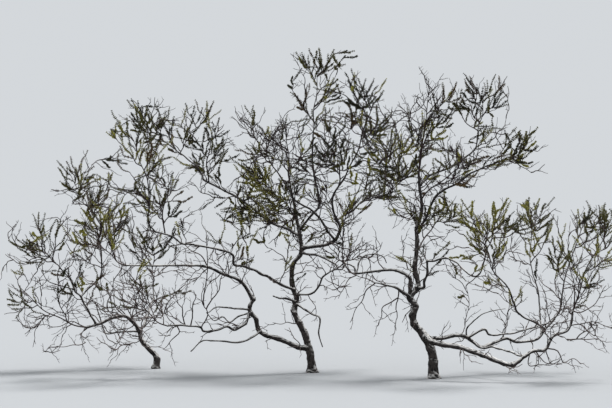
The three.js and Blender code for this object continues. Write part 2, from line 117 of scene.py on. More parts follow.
# Each limb: its parent, its thickness at the root and the tip, and its path of (across, up, back). That
# is where a point shows from the front, and how far behind the centre stem it is. A stem has no parent.
limbs = {
    "centre_stem": limbOf(None, 74, 20, (10, -80, 0), (0, 0, 0), (-20, 180, 0), (-70, 340, 0),
        (-125, 450, 0), (-155, 550, 0), (-135, 680, -10), (-170, 790, -10), (-175, 980, 0),
        (-95, 1080, 10), (-100, 1225, 20), (-125, 1340, 40), (-155, 1485, 60), (-190, 1650, 80)),
    "high_left_bough": limbOf("centre_stem", 30, 17, (-100, 1225), (-200, 1280, 110), (-380, 1365, 260),
        (-665, 1570, 480), (-980, 1735, 680)),
    "high_left_reach": limbOf("high_left_bough", 16, 10, (-980, 1735), (-1010, 1825, 720),
        (-1120, 1920, 790), (-1300, 2060, 860)),
    "right_fork_bough": limbOf("centre_stem", 33, 15, (-90, 1120), (55, 1140, -60), (190, 1170, -140),
        (250, 1280, -180), (215, 1380, -220), (185, 1475, -250), (190, 1595, -280), (300, 1760, -320)),
    "spire_bough": limbOf("centre_stem", 24, 12, (-105, 1290), (10, 1430, 0), (70, 1510, 10),
        (50, 1630, 10), (15, 1800, 10), (5, 1980, 20), (10, 2150, 30)),
    "crossing_bough": limbOf("right_fork_bough", 22, 13, (205, 1190), (110, 1320, -260),
        (25, 1440, -340), (-145, 1540, -450), (-205, 1635, -500), (-295, 1780, -560)),
    "arching_right_bough": limbOf("right_fork_bough", 20, 12, (225, 1370), (365, 1460, -60),
        (460, 1540, 120), (595, 1580, 320), (705, 1590, 450)),
    "front_left_arm": limbOf("centre_stem", 27, 14, (-165, 740), (-280, 795, -130), (-460, 890, -280),
        (-600, 950, -400), (-700, 975, -480), (-720, 1060, -510), (-820, 1100, -580),
        (-1070, 1150, -720), (-1165, 1160, -760), (-1265, 1225, -800), (-1420, 1270, -850)),
    "left_crown_bough": limbOf("front_left_arm", 14, 11, (-1420, 1270), (-1475, 1360, -880),
        (-1465, 1480, -900), (-1470, 1640, -920)),
    "low_left_limb": limbOf("centre_stem", 46, 36, (-30, 230), (-140, 235, -70), (-295, 305, -120),
        (-410, 340, -150), (-475, 385, -170), (-500, 475, -180), (-555, 540, -180), (-560, 600, -180),
        (-520, 665, -175)),
    "mid_left_bough": limbOf("low_left_limb", 35, 13, (-520, 665), (-630, 810, -190), (-810, 890, -230),
        (-955, 950, -280), (-1120, 965, -340), (-1460, 960, -420), (-1690, 965, -460)),
    "low_left_arm": limbOf("low_left_limb", 28, 14, (-555, 540), (-610, 440, -240), (-690, 390, -300),
        (-765, 415, -340), (-855, 380, -390), (-970, 370, -440), (-1015, 410, -460), (-1210, 425, -520),
        (-1305, 420, -550)),
    "centre_hook": limbOf("centre_stem", 20, 12, (-135, 700), (-10, 710, -110), (60, 775, -170),
        (105, 870, -210), (200, 920, -250), (265, 925, -270)),
    "right_stem": limbOf(None, 84, 19, (1090, -130, -640), (1090, -55, -640), (1080, 90, -640),
        (1065, 210, -640), (1010, 325, -640), (935, 425, -640), (925, 510, -640), (945, 600, -640),
        (885, 680, -635), (955, 760, -630), (950, 865, -620), (930, 970, -610), (950, 1190, -590),
        (950, 1295, -580), (988, 1470, -560), (970, 1680, -540), (960, 1800, -520)),
    "left_arm": limbOf("right_stem", 38, 14, (885, 680), (878, 785, -660), (868, 860, -660),
        (790, 905, -640), (665, 925, -600), (520, 905, -550), (395, 890, -510), (335, 905, -490)),
    "hooked_rise": limbOf("right_stem", 25, 20, (955, 755), (1010, 765, -665), (1012, 830, -690),
        (1035, 900, -710), (1035, 1010, -730)),
    "hooked_reach": limbOf("hooked_rise", 19, 11, (1035, 1010), (1090, 1005, -760), (1195, 1030, -830),
        (1295, 995, -900), (1410, 885, -960), (1495, 875, -1010), (1545, 990, -1040),
        (1575, 1110, -1060)),
    "left_spur": limbOf("right_stem", 34, 10, (900, 665), (810, 725, -700), (745, 765, -740),
        (655, 790, -790), (560, 810, -830)),
    "low_upper_arm": limbOf("right_stem", 38, 17, (1005, 330), (1085, 310, -570), (1230, 325, -470),
        (1380, 320, -360), (1505, 240, -260), (1600, 250, -190), (1730, 310, -100), (1830, 275, -30),
        (2010, 300, 60), (2095, 390, 100), (2165, 465, 130), (2230, 560, 150), (2240, 650, 160)),
    "curving_riser": limbOf("low_upper_arm", 20, 12, (2095, 390), (2000, 455, 0), (1875, 515, -60),
        (1820, 610, -110), (1780, 720, -150), (1745, 790, -180), (1645, 890, -220)),
    "upright_riser": limbOf("low_upper_arm", 17, 11, (2060, 340), (2055, 470, 180), (2045, 590, 230),
        (2030, 740, 260), (1985, 890, 290)),
    "low_lower_arm": limbOf("right_stem", 50, 37, (1010, 310), (1085, 270, -730), (1190, 250, -780),
        (1295, 235, -830), (1430, 190, -890), (1520, 160, -930), (1630, 120, -970), (1735, 75, -1000),
        (1810, 65, -1010)),
    "lower_arm_reach": limbOf("low_lower_arm", 35, 18, (1810, 65), (1870, 110, -1010),
        (1925, 145, -1000), (2000, 190, -980), (2095, 205, -960), (2140, 280, -940), (2185, 335, -920),
        (2290, 375, -880), (2335, 465, -860), (2345, 555, -850)),
    "right_upper_bough": limbOf("right_stem", 21, 12, (970, 1690), (1065, 1770, -420),
        (1250, 1850, -220), (1375, 1935, -80), (1470, 2010, 10), (1490, 2110, 50)),
    "right_thin_bough": limbOf("right_stem", 24, 11, (950, 1260), (1040, 1425, -660), (1105, 1570, -740),
        (1190, 1650, -810), (1310, 1700, -890), (1415, 1785, -960), (1555, 1850, -1040),
        (1655, 1885, -1090)),
    "left_stem": limbOf(None, 54, 24, (-1400, -50, 460), (-1405, 36, 460), (-1400, 125, 460),
        (-1460, 210, 460), (-1525, 290, 460), (-1555, 385, 460), (-1630, 475, 430), (-1690, 515, 400),
        (-1775, 495, 370), (-1890, 445, 330), (-2035, 405, 280)),
    "left_riser": limbOf("left_stem", 21, 12, (-1935, 430), (-2020, 565, 290), (-2080, 685, 280),
        (-2135, 735, 270), (-2170, 830, 250), (-2270, 945, 230)),
    "far_left_bough": limbOf("left_riser", 17, 12, (-2080, 685), (-2000, 770, 340), (-1900, 875, 410),
        (-1900, 1090, 430), (-1930, 1260, 420)),
    "left_back_bough": limbOf("left_stem", 26, 12, (-1545, 370), (-1495, 470, 560), (-1460, 575, 650),
        (-1425, 665, 730), (-1430, 775, 780)),
}

# Each mass: its limb, the place on it where the stem starts, the stem's tip, the number and spread of
# its twigs, the share of shoots that bear leaves, and the seed.
massRows = [
    ["top_foliage", "spire_bough", 1, [55, 2740, 60], 6, 360, 0.9, 50],
    ["top_right_foliage", "right_fork_bough", 1, [570, 2530, -400], 6, 450, 0.95, 39],
    ["mid_right_foliage", "right_fork_bough", 0.93, [235, 2110, -560], 6, 360, 0.7, 55],
    ["centre_twigs", "centre_stem", 1, [-225, 2230, 220], 5, 450, 0.15, 28],
    ["left_tangle", "crossing_bough", 1, [-560, 2190, -620], 6, 260, 0.3, 52],
    ["inner_left_foliage", "centre_stem", 0.86, [-520, 1800, -60], 7, 270, 0.95, 53],
    ["high_left_inner_foliage", "high_left_bough", 0.96, [-880, 2200, 560], 5, 290, 0.9, 16],
    ["high_left_foliage", "high_left_reach", 1, [-1580, 2280, 900], 5, 230, 0.95, 11],
    ["high_left_back_foliage", "high_left_reach", 0.8, [-930, 2300, 1000], 5, 200, 0.9, 45],
    ["left_crown_foliage", "left_crown_bough", 1, [-1640, 2150, -960], 6, 330, 0.9, 33],
    ["left_mid_foliage", "front_left_arm", 0.94, [-1250, 1740, -700], 6, 260, 0.7, 7],
    ["far_left_foliage", "far_left_bough", 1, [-2190, 1800, 400], 5, 290, 0.95, 20],
    ["left_low_foliage", "mid_left_bough", 1, [-1960, 1270, -420], 4, 450, 0.95, 5],
    ["far_left_low_foliage", "left_riser", 1, [-2440, 1110, 200], 4, 450, 0.9, 55],
    ["left_far_twigs", "left_stem", 1, [-2640, 780, 120], 3, 400, 0.4, 52],
    ["left_back_foliage", "left_back_bough", 1, [-1420, 1200, 880], 3, 450, 0.5, 37],
    ["low_left_twigs", "low_left_arm", 1, [-1560, 640, -620], 3, 450, 0.15, 27],
    ["centre_low_twigs", "centre_hook", 1, [330, 1180, -380], 3, 260, 0.1, 7],
    ["mid_upright_foliage", "left_arm", 1, [420, 1640, -560], 4, 430, 0.5, 19],
    ["right_inner_foliage", "arching_right_bough", 1, [680, 2080, 500], 7, 450, 0.95, 29],
    ["right_bare_spire", "right_stem", 0.97, [1060, 2560, -700], 4, 270, 0, 43],
    ["right_crown_foliage", "right_stem", 1, [1200, 2500, -440], 6, 310, 0.95, 24],
    ["right_peak_foliage", "right_upper_bough", 1, [1560, 2540, 80], 5, 370, 0.9, 16],
    ["far_right_crown_foliage", "right_thin_bough", 1, [1960, 2010, -1160], 6, 230, 0.9, 1],
    ["right_mid_twigs", "right_stem", 0.9, [1420, 1880, -640], 5, 390, 0.3, 22],
    ["right_back_foliage", "right_stem", 0.72, [1240, 1450, -60], 4, 310, 0.8, 22],
    ["hooked_foliage", "hooked_reach", 1, [1700, 1370, -1130], 4, 450, 0.95, 6],
    ["curving_foliage", "curving_riser", 1, [1560, 1260, -300], 4, 320, 0.9, 29],
    ["upright_foliage", "upright_riser", 1, [1980, 1460, 340], 4, 340, 0.9, 17],
    ["far_right_foliage", "low_upper_arm", 1, [2460, 1400, 120], 4, 450, 0.8, 11],
    ["right_edge_foliage", "lower_arm_reach", 1, [2700, 1350, -820], 4, 450, 0.85, 26],
]
massKeys = ["name", "limb", "at", "tip", "twigs", "spread", "leafy", "seed"]
masses = {row[0]: dict(zip(massKeys, row)) for row in massRows}

eye = np.array([viewValues["eyeAcross"], -viewValues["distance"], viewValues["eyeHeight"]], float)


def unit(vector):
    return vector / np.linalg.norm(vector)


def lerp(a, b, share):
    return a + (b - a) * share


# A number from a pair: the least, and how much more it may be.
def vary(pair, draw):
    return pair[0] + pair[1] * draw()


# A point of the front view, moved back along the line of sight.
def place(spot):
    back = spot[2] if len(spot) > 2 else 0
    return (np.array([spot[0], 0.0, spot[1]]) - eye) * (1 + back / viewValues["distance"]) + eye


# Where points show in the front view.
def seen(points):
    rays = points - eye
    return rays * (viewValues["distance"] / rays[:, 1:2]) + eye


# A repeatable run of numbers from 0 to 1.
def stream(seed):
    state = (seed * 7919 + 12345) % 4294967296

    def draw():
        nonlocal state
        state = (state * 1664525 + 1013904223) % 4294967296
        return state / 4294967296

    return draw


# Points on a smooth curve through the given ones.
def alongPath(points, places):
    spans = len(points) - 1
    at = np.atleast_1d(np.asarray(places, float)) * spans
    index = np.minimum(np.floor(at).astype(int), spans - 1)
    share = (at - index)[:, None]
    padded = np.vstack([2 * points[0] - points[1], points, 2 * points[-1] - points[-2]])
    before, start, end, after = (padded[index + k] for k in range(4))
    leave, arrive = (end - before) / 2, (after - start) / 2
    bend = 3 * (end - start) - 2 * leave - arrive
    twist = 2 * (start - end) + leave + arrive
    return start + leave * share + bend * share ** 2 + twist * share ** 3


# Points on a curve of three control points.
def alongBend(points, places):
    t = np.atleast_1d(np.asarray(places, float))[:, None]
    return (1 - t) ** 2 * points[0] + 2 * (1 - t) * t * points[1] + t ** 2 * points[2]


def tangentAt(points, t, step=0.01):
    ends = alongPath(points, [max(t - step, 0), min(t + step, 1)])
    return unit(ends[1] - ends[0])


def pathLength(points, steps=200):
    line = alongPath(points, np.arange(steps + 1) / steps)
    return np.linalg.norm(np.diff(line, axis=0), axis=1).sum()


# The curve of a limb, from inside its parent to its tip.
def limbPoints(limb, steps=200):
    points = np.array([place(spot) for spot in limb["path"]])
    if limb["parent"]:
        parent = limbs[limb["parent"]]
        shown = seen(alongPath(parent["points"], np.arange(steps + 1) / steps))
        away = np.hypot(shown[:, 0] - limb["path"][0][0], shown[:, 2] - limb["path"][0][1])
        at = np.argmin(away) / steps
        points[0] = alongPath(parent["points"], at)[0]
        if at > 0.97:
            points[0] -= tangentAt(parent["points"], 1) * parent["thick"][1] * ruleValues["joinDepth"]
        limb["parentRadius"] = lerp(*parent["thick"], at) / 2
    return points


# The radius of a limb: an even taper, a knuckle at each elbow, and a lobed flare at a stem's foot.
def limbRadius(limb, t, height, angle):
    rule = ruleValues
    spans = len(limb["path"]) - 1
    swell = lerp(*limb["thick"], t) / 2 * (1 + rule["knuckleShare"] * np.cos(2 * math.pi * t * spans))
    if limb["parent"]:
        return swell
    flare = rule["flareShare"] * np.exp(-np.maximum(height, 0) / rule["flareHeight"])
    return swell * (1 + flare * (1 + rule["lobeShare"] * np.cos(rule["flareLobes"] * angle)))


# A shoot: a bent line through a few joints, each at its place from 0 to 1 with the radius there.
def makeShoot(bend, profile, sides, length, owner=None):
    t, radius = np.array(profile, float).T
    return {"t": t, "radius": radius, "points": alongBend(bend, t), "bend": bend, "sides": sides,
            "length": length, "owner": owner, "leafy": radius.max() > 10}


def shootAt(shoot, places):
    t = np.atleast_1d(np.asarray(places, float))
    after = np.maximum(1, np.searchsorted(shoot["t"], t, side="left"))
    before = after - 1
    share = (t - shoot["t"][before]) / (shoot["t"][after] - shoot["t"][before])
    points = lerp(shoot["points"][before], shoot["points"][after], share[:, None])
    radius = lerp(shoot["radius"][before], shoot["radius"][after], share)
    along = shoot["points"][after] - shoot["points"][before]
    return points, radius, along / np.linalg.norm(along, axis=1)[:, None]


# Two directions square to a line.
def squareTo(along):
    reference = np.array([0.0, 1.0, 0.0]) if abs(along[2]) > 0.9 else up
    side = unit(np.cross(along, reference))
    return side, np.cross(side, along)


def aroundLine(pair, angle):
    return pair[0] * math.cos(angle) + pair[1] * math.sin(angle)


# Directions out of the middle of each face of a shoot's solid, the most upright first.
def facesOf(shoot):
    square = squareTo(unit(shoot["points"][-1] - shoot["points"][0]))
    angles = [math.pi / 2 + (k + 0.5) * 2 * math.pi / shoot["sides"] for k in range(shoot["sides"])]
    return sorted([aroundLine(square, angle) for angle in angles], key=lambda way: -way[2])


# A shoot that leaves another in the given direction, then lifts.
def liftShoot(start, heading, length, lift, profile, owner):
    straight = ruleValues["straight"]
    middle = start + heading * length * straight
    end = middle + unit(heading + up * lift) * length * (1 - straight)
    return makeShoot(np.array([start, middle, end]), profile, 3, length, owner)


def sideShoot(owner, t, face, opening, length, lift, profile):
    point, _, along = shootAt(owner, t)
    heading = unit(aroundLine((along[0], facesOf(owner)[face % owner["sides"]]), opening))
    return liftShoot(point[0], heading, length, lift, profile, owner)


# The stem of a mass, which goes on from its limb and bends to its tip.
def massStem(mass):
    rule, limb, at = ruleValues, limbs[mass["limb"]], mass["at"]
    start = alongPath(limb["points"], at)[0]
    along = tangentAt(limb["points"], at)
    limbThick = lerp(*limb["thick"], at)
    if at == 1:
        start = start - along * limbThick * rule["joinDepth"]
    tip = place(mass["tip"])
    length = np.linalg.norm(tip - start)
    heading = unit(along * (1 if at == 1 else 0.4) + unit(tip - start))
    thick = min(limbThick, rule["stemThick"]) * rule["stemSlim"] / 2
    profile = [[0, thick], [0.35, thick * 0.8], [0.7, thick * 0.6], [1, 2.5]]
    middle = start + heading * length * rule["stemBend"]
    return makeShoot(np.array([start, middle, tip]), profile, 4, length)


def addBeads(shoot, spacing=20):
    count = max(2, math.ceil(shoot["length"] / spacing))
    t = np.arange(count + 1) / count
    points, radius, _ = shootAt(shoot, t)
    shoot["beads"] = {"t": t, "points": points, "radius": radius}


# True where a bead of one lot is nearer than room to a bead of the other.
def touches(points, radius, otherPoints, otherRadius, room):
    if not len(points) or not len(otherPoints):
        return False
    apart = np.linalg.norm(points[:, None] - otherPoints[None], axis=2)
    return bool((apart < radius[:, None] + otherRadius[None] + room).any())


# The points and radii of many lots of beads, as one lot.
def joinBeads(lots):
    return np.vstack([beads["points"] for beads in lots]), np.hstack([beads["radius"] for beads in lots])


# The room of a mass is all that is nearer to its middle than to another's, less a margin.
def inRoom(points, mass, margin):
    beyond = ((points[:, None] - mass["others"][None]) ** 2).sum(2)
    beyond -= ((points - mass["middle"]) ** 2).sum(1)[:, None]
    return bool((beyond / (2 * mass["apart"][None]) > margin).all())


def fits(shoot, mass, kept):
    rule, beads = ruleValues, shoot["beads"]
    points, radius, t = beads["points"][1:], beads["radius"][1:], beads["t"][1:]
    if (points[:, 2] < rule["groundRoom"]).any() or not inRoom(points, mass, rule["roomMargin"]):
        return False
    if touches(points, radius, *mass["obstacles"], rule["clearance"]):
        return False
    for other in kept:
        mine = t > rule["rootPart"] if other is shoot["owner"] else t > 0
        if touches(points[mine], radius[mine], other["beads"]["points"], other["beads"]["radius"], 1):
            return False
    return True


# The seeded rule of the solids: one stem, side twigs round it in turn, and side shoots on each twig and
# on the stem's end. A shoot that doesn't fit is tried again in another direction, then left out.
def growMass(mass):
    rule = ruleValues
    draw = stream(mass["seed"])
    kept = [mass["stem"]]

    def tryShoot(make):
        for attempt in range(rule["tries"]):
            shoot = make()
            addBeads(shoot)
            if fits(shoot, mass, kept):
                kept.append(shoot)
                return shoot
        return None

    def addShoots(owner, count, first, last):
        for j in range(count):
            def make():
                t = first + (last - first) * (j + draw()) / count
                face = j + math.floor(2 * draw())
                opening = vary(rule["shootOpening"], draw)
                length = rule["shoot"] * vary(rule["shootSizes"], draw)
                profile = leafyProfile if draw() < mass["leafy"] else bareProfile
                return sideShoot(owner, t, face, opening, length, rule["shootLift"], profile)
            tryShoot(make)

    for i in range(mass["twigs"]):
        def makeTwig():
            t = rule["twigPlaces"][0] + rule["twigPlaces"][1] * (i + draw()) / mass["twigs"]
            face = i + math.floor(2 * draw())
            opening = vary(rule["twigOpening"], draw)
            taper = rule["twigTaper"][0] - rule["twigTaper"][1] * t
            length = mass["spread"] * taper * vary(rule["twigSizes"], draw)
            profile = leafyTwigProfile if draw() < mass["leafy"] else bareTwigProfile
            return sideShoot(mass["stem"], t, face, opening, length, rule["twigLift"], profile)
        twig = tryShoot(makeTwig)
        if twig:
            twig["kind"] = "twig"
            addShoots(twig, *rule["shootsOnTwig"])
    addShoots(mass["stem"], *rule["shootsOnStem"])
    return kept


for limb in limbs.values():
    limb["points"] = limbPoints(limb)
    limb["length"] = pathLength(limb["points"])
    count = max(2, math.ceil(limb["length"] / ruleValues["stemBeads"]))
    t = np.arange(count + 1) / count
    points = alongPath(limb["points"], t)
    limb["beads"] = {"t": t, "points": points, "radius": limbRadius(limb, t, points[:, 2], 0)}
for mass in masses.values():
    mass["stem"] = massStem(mass)
    addBeads(mass["stem"], ruleValues["stemBeads"])
    mass["middle"] = shootAt(mass["stem"], ruleValues["stemMiddle"])[0][0]
for mass in masses.values():
    others = [other for other in masses.values() if other is not mass]
    mass["others"] = np.array([other["middle"] for other in others])
    mass["apart"] = np.linalg.norm(mass["others"] - mass["middle"], axis=1)
    mass["obstacles"] = joinBeads([other["stem"]["beads"] for other in others]
                                  + [limb["beads"] for limb in limbs.values()])
    mass["shoots"] = growMass(mass)
print("rule of the solids:", sum(len(mass["shoots"]) for mass in masses.values()), "shoots")

# Finer twigs

woodRadii = {  # at the root and the tip
    "twig": (5.8, 2.6),
    "leafy": (3.8, 2.2),
    "bare": (4.0, 1.7),
    "reach": (6.2, 2.4),
    "branchlet": (5.2, 2.4),
    "spike": (3.4, 2.2),
    "twiglet": (3.8, 1.8),
    "spur": (2.7, 1.2),
}
growths = {  # what grows on a shoot: how many, where, how long, how open, and how it lifts
    "branchlet": (4, (0.06, 0.92), (120, 340), (0.7, 1.4), 0.15),
    "sideBranchlet": (0.8, (0.08, 0.6), (90, 260), (0.7, 1.3), 0.15),
    "twiglet": (2.1, (0.14, 0.92), (55, 210), (0.6, 1.2), 0.15),
    "spur": (1.1, (0.2, 0.95), (14, 46), (0.7, 1.35), 0.1),
    "spike": (2, (0.3, 0.95), (90, 210), (0.45, 0.95), 0.45),
}
fineValues = {
    "reachAcross": 90,  # how far the finer twigs may pass the box of the mass's own solid
    "reachDown": 160,
    "reachUp": 12,
    "boxRoom": 20,  # kept free inside the box of the whole plant
    "tipRoom": 10,
    "obstacleReach": 60,  # past that, within which other wood counts
    "margin": 3,  # kept free between two masses
    "clearance": 3,  # kept free round a limb
    "tries": 3,
    "turnStep": 2.4,  # radians from one shoot to the next
    "usualBranchlet": 200,  # length of one with the usual number of twiglets
    "spikesOnBranchlet": 0.7,  # these are shares of the usual number
    "spikesOnLeafy": 0.12,
    "shootsOnTwig": 0.5,
    "twigletsOnBare": 0.5,
    "spursOnBare": 1.5,
    "spurredTwiglet": 90,  # length of a twiglet with the usual number of spurs
    "leafySprays": 0.35,  # of a mass's share of leafy shoots
    "leafyTwiglets": 0.1,
}
# Tints of the leaves: the darkest is dark green with painted shade, and the brightest is the green with
# painted sunlight.
sprayTints = ["dark", "olive", "bright", "dry"]
usualTints = (0.28, 0.42, 0.2, 0.1)
# More of the tint with painted sunlight, and less of the one with painted shade, in these masses.
massTints = {
    "inner_left_foliage": (0.2, 0.35, 0.42, 0.03),
    "far_left_foliage": (0.2, 0.35, 0.35, 0.1),
    "left_low_foliage": (0.05, 0.25, 0.65, 0.05),
    "far_left_low_foliage": (0.05, 0.3, 0.55, 0.1),
    "left_mid_foliage": (0.2, 0.35, 0.3, 0.15),
    "hooked_foliage": (0.05, 0.35, 0.55, 0.05),
    "curving_foliage": (0.05, 0.35, 0.55, 0.05),
    "upright_foliage": (0.1, 0.35, 0.5, 0.05),
    "far_right_foliage": (0.1, 0.35, 0.5, 0.05),
    "right_edge_foliage": (0.1, 0.35, 0.5, 0.05),
}
massFullness = {  # where the crown is closer or more open than usual
    "centre_twigs": 1.9, "left_tangle": 0.8, "inner_left_foliage": 1.5, "right_inner_foliage": 1.6,
    "mid_right_foliage": 1.4, "top_foliage": 0.45, "left_mid_foliage": 0.8, "left_low_foliage": 1.7,
    "far_left_low_foliage": 1.2, "far_left_foliage": 1.2, "right_mid_twigs": 0.75, "low_left_twigs": 1.2,
    "curving_foliage": 1.2, "right_crown_foliage": 0.6, "high_left_inner_foliage": 0.5,
    "left_crown_foliage": 0.15, "high_left_foliage": 0.8, "hooked_foliage": 0.35, "upright_foliage": 0.5,
    "far_right_foliage": 0.7, "far_right_crown_foliage": 0.25, "right_peak_foliage": 0.5,
    "left_back_foliage": 0.9, "high_left_back_foliage": 0.35, "right_back_foliage": 0.7,
}
skyGaps = np.array([  # open sky in the front view: middle across and up, half width and half height
    (-2080, 2480, 330, 430), (720, 2670, 126, 225), (1800, 1701, 290, 120), (2440, 2060, 330, 420),
    (-400, 2700, 170, 280), (-1190, 1560, 100, 150), (-756, 1800, 80, 90), (470, 1480, 90, 80),
    (1380, 1610, 170, 60), (-1930, 2020, 110, 120), (1930, 2430, 150, 260), (-2736, 330, 150, 130),
    (-2500, 1900, 210, 350), (1230, 2500, 60, 75), (-1600, 2150, 90, 75), (-990, 2370, 65, 65),
    (-430, 2290, 85, 65), (2010, 2060, 65, 65), (-2190, 1800, 95, 115),
], float)


# True where a point shows in one of the gaps.
def inGap(points):
    shown = seen(points)[:, None, [0, 2]]
    return bool(((((shown - skyGaps[:, :2]) / skyGaps[:, 2:]) ** 2).sum(2) < 1).any())


# True where a point lies outside a box or too near the ground.
def outOf(points, low, high):
    low = np.maximum(low, (-math.inf, -math.inf, ruleValues["groundRoom"]))
    return (points < low).any() or (points > high).any()


def fineShoot(owner, t, around, opening, length, lift, kind):
    point, _, along = shootAt(owner, t)
    heading = unit(aroundLine((along[0], aroundLine(squareTo(along[0]), around)), opening))
    profile = leafyProfile if kind == "spike" else bareProfile
    shoot = liftShoot(point[0], heading, length, lift, profile, owner)
    shoot.update(kind=kind, rootAt=t, tint=owner["tint"])
    addBeads(shoot)
    return shoot


# Grows shoots of one sort on an owner, as many as fit, turned round it in steps.
def addGrowth(owner, sort, draw, fitsHere, kept, fullness=1.0, longest=1.0, kind=None):
    usual, span, lengths, openings, lift = growths[sort]
    count = math.floor(usual * fullness + draw())
    made = []
    for j in range(count):
        turn = fineValues["turnStep"] * j + fullTurn * draw()
        for attempt in range(fineValues["tries"]):
            t = lerp(*span, (j + draw()) / count)
            length = lerp(*lengths, draw()) * longest
            around = turn + 2 * draw()
            shoot = fineShoot(owner, t, around, lerp(*openings, draw()), length, lift, kind or sort)
            if fitsHere(shoot):
                kept.append(shoot)
                made.append(shoot)
                break
    return made


def pickTint(weights, draw):
    mood, total = draw(), 0
    for index, weight in enumerate(weights):
        total += weight
        if mood < total:
            return index
    return 0


# Carries a spray's branchlet on to twiglets, spurs and spikes.
def fillBranchlet(branchlet, leafy, draw, fitsHere, kept):
    values = fineValues
    branchlet["leafy"] = leafy
    room = branchlet["length"] / values["usualBranchlet"]
    twiglets = addGrowth(branchlet, "twiglet", draw, fitsHere, kept, room, longest=0.7 + 0.3 * room)
    if leafy:
        addGrowth(branchlet, "spike", draw, fitsHere, kept, room * values["spikesOnBranchlet"])
    for twiglet in twiglets:
        twiglet["leafy"] = leafy and draw() < values["leafyTwiglets"]
        if not twiglet["leafy"]:
            room = twiglet["length"] / values["spurredTwiglet"]
            addGrowth(twiglet, "spur", draw, fitsHere, kept, room)


# Grows finer shoots in a mass's room.
def growFiner(mass):
    values = fineValues
    draw = stream(mass["seed"] + 500)
    kept, stem = mass["shoots"], mass["stem"]
    ruled = list(kept)
    ends = joinBeads([shoot["beads"] for shoot in ruled])[0]
    across, down, high = values["reachAcross"], values["reachDown"], values["reachUp"]
    lowest = np.maximum(ends.min(0) - (across, across, down), plantLow)
    highest = np.minimum(ends.max(0) + (across, across, high), plantHigh)
    obstacles, thick = mass["obstacles"]
    past = values["obstacleReach"]
    near = ((obstacles > lowest - past) & (obstacles < highest + past)).all(1)
    obstacles, thick = obstacles[near], thick[near]
    fullness = massFullness.get(mass["name"], 1)
    weights = massTints.get(mass["name"], usualTints)

    def fitsHere(shoot):
        beads = shoot["beads"]
        points, radius, t = beads["points"][1:], beads["radius"][1:], beads["t"][1:]
        if outOf(points, lowest, highest) or inGap(points) or not inRoom(points, mass, values["margin"]):
            return False
        upper = t > ruleValues["rootPart"]
        return not touches(points[upper], radius[upper], obstacles, thick, values["clearance"])

    def growSprays(owner, sort):
        for branchlet in addGrowth(owner, sort, draw, fitsHere, kept, fullness, kind="branchlet"):
            if owner is stem:
                branchlet["tint"] = pickTint(weights, draw)
            leafy = draw() < mass["leafy"] * values["leafySprays"]
            fillBranchlet(branchlet, leafy, draw, fitsHere, kept)

    stem.update(kind="stem", tint=0)
    for shoot in ruled[1:]:
        shoot.setdefault("kind", "leafy" if shoot["leafy"] else "bare")
        shoot["tint"] = pickTint(weights, draw) if shoot["owner"] is stem else shoot["owner"]["tint"]
    growSprays(stem, "branchlet")
    for shoot in ruled:
        if shoot["kind"] == "twig":
            growSprays(shoot, "sideBranchlet")
            sort = "spike" if shoot["leafy"] else "twiglet"
            addGrowth(shoot, sort, draw, fitsHere, kept, values["shootsOnTwig"])
        elif shoot["kind"] == "leafy":
            addGrowth(shoot, "spike", draw, fitsHere, kept, values["spikesOnLeafy"])
        elif shoot["kind"] == "bare":
            addGrowth(shoot, "twiglet", draw, fitsHere, kept, values["twigletsOnBare"], longest=0.7)
            addGrowth(shoot, "spur", draw, fitsHere, kept, values["spursOnBare"])


boxLow, boxHigh = (np.array(corner) / metre for corner in cadBox)
plantLow, plantHigh = boxLow + fineValues["boxRoom"], boxHigh - fineValues["tipRoom"]
for mass in masses.values():
    growFiner(mass)
print("with finer twigs:", sum(len(mass["shoots"]) for mass in masses.values()), "shoots")

# Sprays along the limbs

limbSprayValues = {
    "spacing": 130,
    "length": (70, 300),
    "opening": (0.7, 1.4),
    "lift": 0.2,
    "firstOnStem": 0.3,
    "firstOnBough": 0.06,
    "last": 0.99,
    "shortness": 1.3,  # above 1, most are nearer to the shortest
    "rootPart": 0.5,  # of a spray, which may touch its own limb
    "lowestLeaves": 620,
    "around": 150,  # past a spray's reach, within which other wood counts
    "clearance": 4,
    "tries": 4,
    "seed": 900,
}
limbSprays = {  # fullness, longest as a share of the usual, and how many of them bear leaves
    "centre_stem": (1.3, 1.3, 0.2),
    "high_left_bough": (1.6, 1.1, 0.7),
    "high_left_reach": (1.5, 0.9, 0.9),
    "right_fork_bough": (1.4, 1.1, 0.4),
    "spire_bough": (1.6, 1.1, 0.45),
    "crossing_bough": (1.6, 1.2, 0.15),
    "arching_right_bough": (1.5, 1.1, 0.5),
    "front_left_arm": (1.2, 1.0, 0.3),
    "left_crown_bough": (1.5, 1.0, 0.7),
    "low_left_limb": (0.6, 0.7, 0),
    "mid_left_bough": (1.2, 1.0, 0.05),
    "low_left_arm": (1.1, 1.0, 0.1),
    "centre_hook": (0.8, 0.7, 0),
    "right_stem": (1.1, 1.1, 0.35),
    "left_arm": (0.6, 0.6, 0.05),
    "hooked_rise": (0.3, 0.5, 0),
    "hooked_reach": (0.7, 0.7, 0.4),
    "left_spur": (0.8, 0.8, 0),
    "low_upper_arm": (0.7, 0.9, 0.1),
    "curving_riser": (1.3, 1.0, 0.5),
    "upright_riser": (1.3, 1.0, 0.5),
    "low_lower_arm": (0.8, 0.8, 0),
    "lower_arm_reach": (1.1, 1.0, 0.2),
    "right_upper_bough": (1.6, 1.1, 0.6),
    "right_thin_bough": (1.7, 1.0, 0.6),
    "left_stem": (0.9, 0.9, 0.1),
    "left_riser": (1.3, 1.0, 0.5),
    "far_left_bough": (1.5, 1.0, 0.6),
    "left_back_bough": (1.3, 1.0, 0.4),
}


# A limb as a shoot that others can stand on.
def limbAsShoot(limb):
    beads = limb["beads"]
    return dict(beads, length=limb["length"], owner=None, kind="limb", beads=beads, tint=0)


